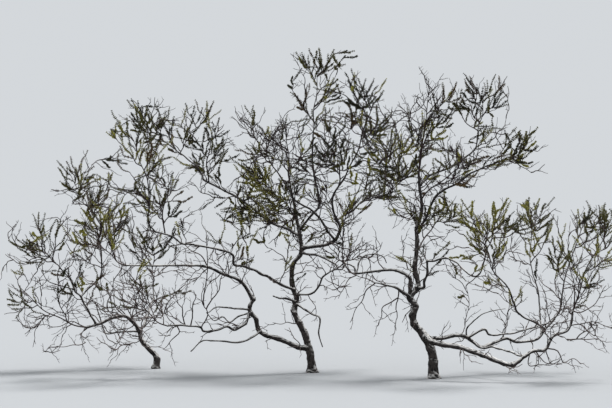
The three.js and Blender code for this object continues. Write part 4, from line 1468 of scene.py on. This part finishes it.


# Wood: dark hollows and a mid tone, with a pale grey painted highlight on what faces the sky and painted
# shade on what faces down. The painted highlight is strongest on the lower wood, and the wood higher up
# is darker all round.
def weatheringGroup():
    values = weatheringAndPaintedLightValues
    tree, given, result = shaderGroup(
        "weathering",
        {"Hollow": "Color", "Body": "Color", "Bleached": "Color", "Relief": "Float",
         "Patch size": "Float", "Grain size": "Float", "Bleaching": "Float", "Coordinates": "Vector"},
        {"Color": "Color", "Roughness": "Float", "Height": "Float"})
    where = given["Coordinates"]
    patches = noiseOf(tree, where, given["Patch size"], *values["patches"])
    grain = noiseOf(tree, where, given["Grain size"], *values["grain"])
    uneven = mathOf(tree, "SUBTRACT", patches, 0.5)
    depth = mathOf(tree, "MULTIPLY_ADD", uneven, values["unevenness"], given["Relief"])
    normal = makeNode(tree, "ShaderNodeNewGeometry").outputs["Normal"]
    facing = makeNode(tree, "ShaderNodeSeparateXYZ", {0: normal}).outputs["Z"]
    height = makeNode(tree, "ShaderNodeSeparateXYZ", {0: where}).outputs["Z"]
    # the lower wood gets the most painted highlight, and the upper wood is darker all round
    lowerWood = rangeOf(tree, height, *values["upperWoodHeight"], 1.0, values["upperPaintedHighlight"])
    upperDarkening = rangeOf(tree, lowerWood, 1.0, values["upperPaintedHighlight"], 0.0, values["upperDarkness"])
    # painted highlight: pale grey on the worn relief of what faces the sky, standing in for sunlight on
    # the tops
    skyward = rangeOf(tree, facing, *values["skyward"], smooth=True)
    paintedHighlightOnWorn = mathOf(tree, "MULTIPLY", skyward, rangeOf(tree, depth, *values["worn"]))
    paintedHighlight = mathOf(tree, "MULTIPLY", paintedHighlightOnWorn, mathOf(tree, "MULTIPLY", lowerWood, given["Bleaching"]))
    # painted shade: what faces down is mixed towards the darkest colour
    under = rangeOf(tree, facing, *values["underside"], 0.0, values["undersideShade"], smooth=True)
    darker = mathOf(tree, "MAXIMUM", under, upperDarkening)
    toBody = rangeOf(tree, depth, *values["hollow"], smooth=True)
    body = mixOf(tree, toBody, given["Hollow"], given["Body"])
    shaded = mixOf(tree, darker, body, given["Hollow"])
    withPaintedHighlight = mixOf(tree, paintedHighlight, shaded, given["Bleached"])
    speck = rangeOf(tree, grain, *values["speck"], *values["speckShade"])
    tree.links.new(mixOf(tree, 1.0, withPaintedHighlight, speck, "MULTIPLY"), result["Color"])
    tree.links.new(rangeOf(tree, grain, 0.0, 1.0, *values["roughness"]), result["Roughness"])
    tree.links.new(grain, result["Height"])
    return tree


# Slow and fast unevenness of a leaf's green.
def mottleGroup():
    values = mottleValues
    tree, given, result = shaderGroup(
        "mottle", {"Shade": "Color", "Light": "Color", "Size": "Float", "Coordinates": "Vector"},
        {"Color": "Color", "Roughness": "Float"})
    clouds = noiseOf(tree, given["Coordinates"], given["Size"], *values["clouds"])
    spread = rangeOf(tree, clouds, *values["spread"])
    tree.links.new(mixOf(tree, spread, given["Shade"], given["Light"]), result["Color"])
    tree.links.new(rangeOf(tree, clouds, 0.0, 1.0, *values["roughness"]), result["Roughness"])
    return tree


weathering = weatheringGroup()
mottle = mottleGroup()


def emptyMaterial(name, gloss):
    material = bpy.data.materials.new(name)
    material.use_nodes = True
    tree = material.node_tree
    tree.nodes.clear()
    shader = makeNode(tree, "ShaderNodeBsdfPrincipled", {"Specular IOR Level": gloss})
    makeNode(tree, "ShaderNodeOutputMaterial", {"Surface": shader.outputs[0]})
    return material, tree, shader


# A material whose colour and roughness come from one of the groups.
def groupMaterial(name, group, values, gloss):
    material, tree, shader = emptyMaterial(name, gloss)
    where = makeNode(tree, "ShaderNodeTexCoord").outputs["Object"]
    effect = makeNode(tree, "ShaderNodeGroup", {"Coordinates": where, **values}, node_tree=group)
    tree.links.new(effect.outputs["Color"], shader.inputs["Base Color"])
    tree.links.new(effect.outputs["Roughness"], shader.inputs["Roughness"])
    return material, tree, shader, effect


# Colours of each wood: the palest is the painted highlight on the tops, and the darkest gives the
# hollows and the painted shade underneath.
woodTones = {
    "greyBark": {
        "Hollow": colour(22, 20, 20), "Body": colour(70, 64, 61), "Bleached": colour(228, 225, 221),
        "Patch size": 22.0, "Grain size": 420.0, "Bleaching": 1.0, "Relief": 0.5,
    },
    "twigBark": {
        "Hollow": colour(32, 23, 23), "Body": colour(58, 44, 42), "Bleached": colour(146, 134, 129),
        "Patch size": 30.0, "Grain size": 600.0, "Bleaching": 0.7, "Relief": 0.5,
    },
    "thornWood": {
        "Hollow": colour(84, 68, 60), "Body": colour(140, 124, 112), "Bleached": colour(182, 172, 160),
        "Patch size": 60.0, "Grain size": 600.0, "Bleaching": 0.6, "Relief": 0.55,
    },
}
woodBumps = {  # strength, and depth in metres
    "greyBark": (0.5, 0.0015),
    "twigBark": (0.3, 0.0006),
    "thornWood": (0.2, 0.0004),
}
leafTones = {  # shade and light of each tint, dealt out by spray; the darkest tint is painted shade on a dark green, and the brightest is painted sunlight on the green
    "dark": {"Shade": colour(30, 32, 15), "Light": colour(56, 57, 27)},
    "olive": {"Shade": colour(54, 55, 21), "Light": colour(102, 98, 42)},
    "bright": {"Shade": colour(106, 106, 40), "Light": colour(170, 164, 78)},
    "dry": {"Shade": colour(64, 51, 30), "Light": colour(106, 86, 52)},
}


def woodMaterial(name, reliefAttribute=None):
    material, tree, shader, effect = groupMaterial(name, weathering, woodTones[name], 0.25)
    if reliefAttribute:
        relief = makeNode(tree, "ShaderNodeAttribute", attribute_name=reliefAttribute)
        tree.links.new(relief.outputs["Fac"], effect.inputs["Relief"])
    strength, deep = woodBumps[name]
    bump = makeNode(tree, "ShaderNodeBump",
                    {"Height": effect.outputs["Height"], "Strength": strength, "Distance": deep})
    tree.links.new(bump.outputs["Normal"], shader.inputs["Normal"])
    return material


barkFinish = woodMaterial("greyBark", "relief")
twigFinish = woodMaterial("twigBark")
thornFinish = woodMaterial("thornWood")
leafFinishes = {tint: groupMaterial(tint + "Leaf", mottle, {"Size": 45.0, **tones}, 0.3)[0]
                for tint, tones in leafTones.items()}
print("materials made")

# Limbs with bark relief

barkValues = {
    "ringStep": 5.5,
    "sides": ((70, 26), (45, 22), (30, 18), (0, 14)),  # from this thickness on, so many to a ring
    "furrowWidth": 9,
    "furrowLength": 60,
    "furrowDepth": 0.07,  # of the radius
    "leastFurrow": 0.25,
    "ridgePitch": 1.3,
    "ridgeSlope": 2.2,
    "fineRidge": (2.9, 0.4),  # pitch and height
    "evenRidge": 0.6,  # where the bark stands as high as the even limb
    "lumpSize": 46,
    "lumpDepth": 0.15,
    "crustSize": 5,
    "crustDepth": 0.35,
    "knotSpacing": 100,
    "knotPlaces": (0.15, 0.97),
    "knotSize": (0.35, 0.75),  # of the radius
    "knotHeight": 0.4,
    "knotSpread": (0.9, 1.1),  # along the limb, of its size, and round it
    "knotReach": 6,
    "collarShare": 0.5,  # of the radius, more where a limb springs from another
    "collarStart": 0.7,  # of the other limb's radius
    "collarLength": 0.55,  # of the thickness
    "crook": 0.42,  # sideways, of the thickness
    "crookLength": 5,  # of the thickness
    "evenEnds": 8,  # the crook fades over this part of the limb at both ends, one in so many
    "endBulge": 0.2,
    "endRelief": 0.4,
}


# Height of the bark over the even limb, and how open its furrow is there, from 0 to 1.
def barkRelief(point, angle, along, radius, knots, seed):
    values = barkValues
    around = radius / values["furrowWidth"]
    run = along / values["furrowLength"] + seed
    spot = Vector((math.cos(angle) * around, math.sin(angle) * around, run))
    ridge = 1 - abs(noise.noise(spot * values["ridgePitch"])) * values["ridgeSlope"]
    ridge += values["fineRidge"][1] * noise.noise(spot * values["fineRidge"][0])
    lump = noise.noise(Vector(point) / values["lumpSize"] + Vector((seed, 0, 0)))
    crust = noise.noise(Vector(point) / values["crustSize"])
    height = (ridge - values["evenRidge"]) * (values["furrowDepth"] * radius + values["leastFurrow"])
    height += lump * values["lumpDepth"] * radius
    height += crust * values["crustDepth"]
    for where, side, size in knots:
        turned = math.remainder(angle - side, 2 * math.pi)
        lengthwise, sideways = values["knotSpread"]
        away = ((along - where) / (size * lengthwise)) ** 2 + (turned * sideways) ** 2
        if away < values["knotReach"]:
            height += values["knotHeight"] * size * math.exp(-away)
    return height, min(max(0.5 + 0.55 * (ridge - 0.55) + 0.25 * crust, 0), 1)


# The middle line of a limb in small steps, from the ground up for a stem, and each point's place on it.
def limbLine(limb):
    points = limb["points"]
    steps = math.ceil(limb["length"] / barkValues["ringStep"])
    t = np.arange(steps + 1) / steps
    line = alongPath(points, t)
    if not limb["parent"]:
        first = np.argmax(line[:, 2] > 0)
        below, above = line[first - 1, 2], line[first, 2]
        cut = t[first - 1] + (t[first] - t[first - 1]) * below / (below - above)
        t = np.concatenate([[cut], t[first:]])
        line = alongPath(points, t)
    return t, line


def limbMesh(limb, seed):
    values, points, thick, isStem = barkValues, limb["points"], limb["thick"], not limb["parent"]
    draw = stream(seed)
    t, line = limbLine(limb)
    lengths = np.concatenate([[0], np.cumsum(np.linalg.norm(np.diff(line, axis=0), axis=1))])
    share = lengths / lengths[-1]
    wander = lengths / (values["crookLength"] * sum(thick) / 2)
    ends = np.clip(share * values["evenEnds"], 0, 1) * np.clip((1 - share) * values["evenEnds"], 0, 1)
    crook = lerp(*thick, share) * values["crook"] * ends
    for k in range(3):
        row = seed * 5.3 + k * 17.1
        line[:, k] += crook * np.array([noise.noise(Vector((along, row, 0.5))) for along in wander])
    count = int(limb["length"] / values["knotSpacing"])
    spots = [(lerp(*values["knotPlaces"], (k + draw()) / count) * lengths[-1], fullTurn * draw())
             for k in range(count)]
    knots = [(where, side, lerp(*values["knotSize"], draw()) * lerp(*thick, where / lengths[-1]) / 2)
             for where, side in spots]
    sides = next(number for least, number in values["sides"] if thick[0] > least)
    across = np.array([0.0, 1.0, 0.0])
    vertices, faces, relief = [], [], []
    for i, where in enumerate(t):
        along = tangentAt(points, where)
        across = unit(across - along * np.dot(across, along))
        square = (across, np.cross(across, along))
        collar = 1
        if limb["parent"]:
            out = max(0, lengths[i] - limb["parentRadius"] * values["collarStart"])
            collar += values["collarShare"] * math.exp(-out / (thick[0] * values["collarLength"]))
        for k in range(sides):
            angle = 2 * math.pi * k / sides
            radius = float(limbRadius(limb, where, line[i, 2], angle)) * collar
            way = aroundLine(square, angle)
            spot = line[i] + way * radius
            height, furrow = barkRelief(spot, angle, lengths[i], radius, knots, seed * 3.7)
            spot = spot + way * height
            if isStem:
                spot[2] = 0 if i == 0 else max(spot[2], 0)
            vertices.append(spot * metre)
            relief.append(furrow)
    for i in range(len(t) - 1):
        for k in range(sides):
            a, b = i * sides + k, i * sides + (k + 1) % sides
            faces.append((a, b, b + sides, a + sides))
    for ring, outward, end in ((0, -1, 0), (len(t) - 1, 1, 1)):
        atGround = isStem and ring == 0
        outward = 0 if atGround else outward
        tip = line[ring] + outward * tangentAt(points, t[ring]) * thick[end] * values["endBulge"]
        tip[2] = 0 if atGround else tip[2]
        centre = len(vertices)
        vertices.append(tip * metre)
        relief.append(values["endRelief"])
        for k in range(sides):
            a, b = ring * sides + k, ring * sides + (k + 1) % sides
            faces.append((a, b, centre) if end else (b, a, centre))
    return vertices, faces, relief


for group, (stemName, sideName) in enumerate(sideNames.items()):
    members = [name for name in limbs if rootStem(name) == stemName]
    branches = [limbs[name] for name in members]
    branches += [snag for snag in snags.values() if rootStem(snag["parent"]) == stemName]
    vertices, faces, relief = [], [], []
    for number, limb in enumerate(branches):
        more, moreFaces, moreRelief = limbMesh(limb, 1 + number + 20 * group)
        faces += [tuple(index + len(vertices) for index in face) for face in moreFaces]
        vertices += more
        relief += moreRelief
    piece = meshObject(sideName + "Limbs", vertices, [], faces, [("relief", relief)])
    piece.data.polygons.foreach_set("use_smooth", [True] * len(faces))
    piece.data.materials.append(barkFinish)
    finishPiece(piece, members)

# Twigs

twigValues = {
    "thickness": 1.0,  # times the shoots' own
    "pieces": {  # kinds of shoot, and sides to a ring
        "Twigs": (ruledKinds, 5),
        "Branchlets": (("branchlet", "reach"), 4),
        "FineTwigs": (fineKinds, 3),
    },
}


def twigTree():
    tree, given = startTree("twigsAlongLines", {
        "Sides": "Int", "Thickness": "Float", "Finish": "Material"})
    curve = makeNode(tree, "GeometryNodeMeshToCurve", {"Mesh": given["Geometry"]})
    circle = {"Resolution": given["Sides"], "Radius": 1.0}
    ring = makeNode(tree, "GeometryNodeCurvePrimitiveCircle", circle, mode="RADIUS")
    thick = mathOf(tree, "MULTIPLY", namedOf(tree, "thickness"), given["Thickness"])
    wood = makeNode(tree, "GeometryNodeCurveToMesh", {
        "Curve": curve.outputs[0], "Profile Curve": ring.outputs[0], "Scale": thick, "Fill Caps": True})
    smooth = makeNode(tree, "GeometryNodeSetShadeSmooth", {"Geometry": wood.outputs[0]})
    return endTree(tree, smooth.outputs[0], given["Finish"])


def woodLines(shoots, kinds):
    return [(shoot["line"], shoot["wood"]) for shoot in shoots if shoot["kind"] in kinds]


twigsAlongLines = twigTree()
for stemName, side in sideNames.items():
    members = [name for name in masses if rootStem(masses[name]["limb"]) == stemName]
    shoots = [shoot for shoot in allShoots if shoot["side"] == side]
    for label, (kinds, sides) in twigValues["pieces"].items():
        piece = linesObject(side + label, woodLines(shoots, kinds))
        applyTree(piece, twigsAlongLines, {
            "Sides": sides, "Thickness": twigValues["thickness"], "Finish": twigFinish})
        finishPiece(piece, members)

# Leaves

leafValues = {
    "spacing": 0.015,
    "leavesPerTuft": 7,
    "length": 0.0145,
    "lengthSizes": (0.8, 0.35),  # the least, and how much more
    "width": 0.0088,
    "opening": (0.75, 1.25),  # radians from the shoot's line
    "tipRise": 0.006,
    "tipSize": 0.75,  # of the tufts at a shoot's end
    "sizeSpread": 0.25,
    "seed": 4,
    "tuftSeed": 40,
}


# One tuft: narrow leaflets round a node, each folded a little along its middle.
def tuftObject(index):
    values = leafValues
    draw = stream(values["tuftSeed"] + index)
    points, faces = [], []
    for k in range(values["leavesPerTuft"]):
        turn = 2 * math.pi * (k + 0.5 * draw()) / values["leavesPerTuft"]
        opening = lerp(*values["opening"], draw())
        out = np.array([math.cos(turn), math.sin(turn), 0])
        along = out * math.sin(opening) + up * math.cos(opening)
        aside = np.array([-math.sin(turn), math.cos(turn), 0])
        normal = np.cross(aside, along)
        long, wide = values["length"] * vary(values["lengthSizes"], draw), values["width"]
        rise = (draw() - 0.5) * values["tipRise"]
        outline = [(0, 0, 0), (0.32, -0.5, 0.0014), (0.74, -0.4, 0.001), (1, 0, rise * 0.6),
                   (0.74, 0.4, 0.001), (0.32, 0.5, 0.0014)]
        first = len(points)
        points += [list(along * (0.0008 + u * long) + aside * w * wide + normal * lifted)
                   for u, w, lifted in outline]
        faces += [(first, first + a, first + a + 1) for a in (1, 2, 3, 4)]
    return plainMesh("tuft" + str(index), points, [], faces)


# A few shapes in a collection, for a tree to pick from.
def shapesOf(name, make, count=3):
    shapes = bpy.data.collections.new(name)
    for index in range(count):
        shapes.objects.link(make(index))
    return shapes


# Instances of a collection's objects at even steps along lines, turned and sized at random. They get
# larger from a line's root on, and smaller again towards its tip.
def alongTree():
    tree, given = startTree("shapesAlongLines", {
        "Spacing": "Float", "Size spread": "Float", "Tip size": "Float", "Seed": "Int",
        "Shapes": "Collection", "Finish": "Material"})
    curve = makeNode(tree, "GeometryNodeMeshToCurve", {"Mesh": given["Geometry"]})
    share = makeNode(tree, "GeometryNodeSplineParameter").outputs["Factor"]
    stored = {"Geometry": curve.outputs[0], "Name": "place", "Value": share}
    kept = makeNode(tree, "GeometryNodeStoreNamedAttribute", stored, data_type="FLOAT", domain="POINT")
    steps = {"Curve": kept.outputs[0], "Length": given["Spacing"]}
    points = makeNode(tree, "GeometryNodeCurveToPoints", steps, mode="LENGTH")
    ahead = {"Vector": points.outputs["Tangent"]}
    facing = makeNode(tree, "FunctionNodeAlignRotationToVector", ahead, axis="Z")
    spin = {"Axis": (0, 0, 1), "Angle": randomOf(tree, given["Seed"], 0.0, 6.2832)}
    turn = makeNode(tree, "FunctionNodeAxisAngleToRotation", spin)
    both = {"Rotation": facing.outputs[0], "Rotate By": turn.outputs[0]}
    rotation = makeNode(tree, "FunctionNodeRotateRotation", both, rotation_space="LOCAL")
    where = namedOf(tree, "place")
    growing = rangeOf(tree, where, 0.0, 0.25, 0.7, 1.0)
    ending = rangeOf(tree, where, 0.8, 1.0, 1.0, given["Tip size"])
    random = randomOf(tree, mathOf(tree, "ADD", given["Seed"], 7.0), -1.0, 1.0)
    uneven = mathOf(tree, "MULTIPLY_ADD", random, given["Size spread"], 1.0)
    size = mathOf(tree, "MULTIPLY", mathOf(tree, "MULTIPLY", growing, ending), uneven)
    chosen = {"Collection": given["Shapes"], "Separate Children": True, "Reset Children": True}
    shapes = makeNode(tree, "GeometryNodeCollectionInfo", chosen)
    choice = {4: 0, 5: 2, "Seed": given["Seed"]}
    pick = makeNode(tree, "FunctionNodeRandomValue", choice, data_type="INT")
    placed = makeNode(tree, "GeometryNodeInstanceOnPoints", {
        "Points": points.outputs["Points"], "Instance": shapes.outputs[0], "Pick Instance": True,
        "Instance Index": pick.outputs[2], "Rotation": rotation.outputs[0], "Scale": size})
    return endTree(tree, placed.outputs[0], given["Finish"])


# Puts a piece's shapes along its lines.
def putAlong(name, lines, values, seed, shapes, finish):
    piece = linesObject(name, lines)
    applyTree(piece, shapesAlongLines, {
        "Spacing": values["spacing"], "Size spread": values["sizeSpread"], "Tip size": values["tipSize"],
        "Seed": seed, "Shapes": shapes, "Finish": finish})
    return piece


def spanLine(shoot, first, last, step=16):
    u = np.linspace(first, last, max(3, math.ceil(shoot["length"] * (last - first) / step) + 1))
    return np.array([onLine(shoot, share) for share in u]), np.full(len(u), 1.0)


shapesAlongLines = alongTree()
tufts = shapesOf("tufts", tuftObject)
leafyMasses = [name for name in masses if masses[name]["leafy"] > 0]
leafyShoots = [shoot for shoot in allShoots if leafSpan(shoot)]
for number, tint in enumerate(sprayTints):
    lines = [spanLine(shoot, *leafSpan(shoot)) for shoot in leafyShoots if shoot["tint"] == number]
    seed = leafValues["seed"] + number
    piece = putAlong(tint + "Leaves", lines, leafValues, seed, tufts, leafFinishes[tint])
    finishPiece(piece, leafyMasses)

# Thorns

thornValues = {
    "spacing": 0.07,
    "length": 0.0085,
    "width": 0.0016,
    "opening": 1.15,
    "openingSpread": 0.12,
    "sizeSpread": 0.3,
    "tipSize": 0.6,
    "seed": 21,
}


# A pair of straight thorns at a node.
def thornPair(index):
    values = thornValues
    opening = values["opening"] + values["openingSpread"] * (index - 1)
    points, faces = [], []
    for way in (1, -1):
        along = np.array([way * math.sin(opening), 0, math.cos(opening)])
        square = squareTo(along)
        first = len(points)
        points += [list(aroundLine(square, 2 * math.pi * k / 3) * values["width"] / 2) for k in range(3)]
        points.append(list(along * values["length"]))
        faces += [(first + b, first + a, first + 3) for a, b in ((0, 1), (1, 2), (2, 0))]
        faces.append((first, first + 1, first + 2))
    return plainMesh("thorns" + str(index), points, [], faces)


thornShapes = shapesOf("thorns", thornPair)
lines = woodLines(allShoots, ("bare", "branchlet"))
thorns = putAlong("thorns", lines, thornValues, thornValues["seed"], thornShapes, thornFinish)
finishPiece(thorns, [name for name in masses if masses[name]["leafy"] <= 0.4])

for collection in (tufts, thornShapes):
    for obj in list(collection.objects):
        bpy.data.objects.remove(obj)
    bpy.data.collections.remove(collection)
print("twigs, leaves and thorns made")

# Floor, light and camera

studioValues = {
    "backdrop": colour(222, 226, 230),
    "backdropStrength": 0.9,
    "floorReach": 400,
    "sunStrength": 3.6,
    "sunAngle": math.radians(14),
    "sunFrom": (2.3, 2.1, 6.0),
    "lens": 104.575,
    "lookUp": math.atan(0.0135),
}


def buildFloor():
    reach = studioValues["floorReach"]
    sunShare = studioValues["sunStrength"] * Vector(studioValues["sunFrom"]).normalized().z / math.pi
    skies = [c * studioValues["backdropStrength"] for c in studioValues["backdrop"][:3]]
    floorColour = [sky / (sky + sunShare) for sky in skies] + [1.0]  # it meets the backdrop unseen
    corners = [(-reach, -reach, 0), (reach, -reach, 0), (reach, reach, 0), (-reach, reach, 0)]
    floor = meshObject("floor", corners, [], [(0, 1, 2, 3)])
    material, tree, shader = emptyMaterial("paleFloor", 0.0)
    shader.inputs["Base Color"].default_value = floorColour
    shader.inputs["Roughness"].default_value = 1.0
    floor.data.materials.append(material)


def buildStudio():
    scene = bpy.context.scene
    scene.world = bpy.data.worlds.new("studio")
    scene.world.use_nodes = True
    backdrop = scene.world.node_tree.nodes["Background"]
    backdrop.inputs["Color"].default_value = studioValues["backdrop"]
    backdrop.inputs["Strength"].default_value = studioValues["backdropStrength"]
    light = bpy.data.lights.new("sun", "SUN")
    light.energy, light.angle = studioValues["sunStrength"], studioValues["sunAngle"]
    sun = bpy.data.objects.new("sun", light)
    sun.rotation_euler = (-Vector(studioValues["sunFrom"])).to_track_quat("-Z", "Y").to_euler()
    camera = bpy.data.objects.new("camera", bpy.data.cameras.new("camera"))
    camera.data.lens = studioValues["lens"]
    camera.location = eye * metre
    camera.rotation_euler = (math.pi / 2 + studioValues["lookUp"], 0, 0)
    for obj in (sun, camera):
        scene.collection.objects.link(obj)
    scene.camera = camera
    scene.view_settings.view_transform = "Standard"


buildFloor()
buildStudio()
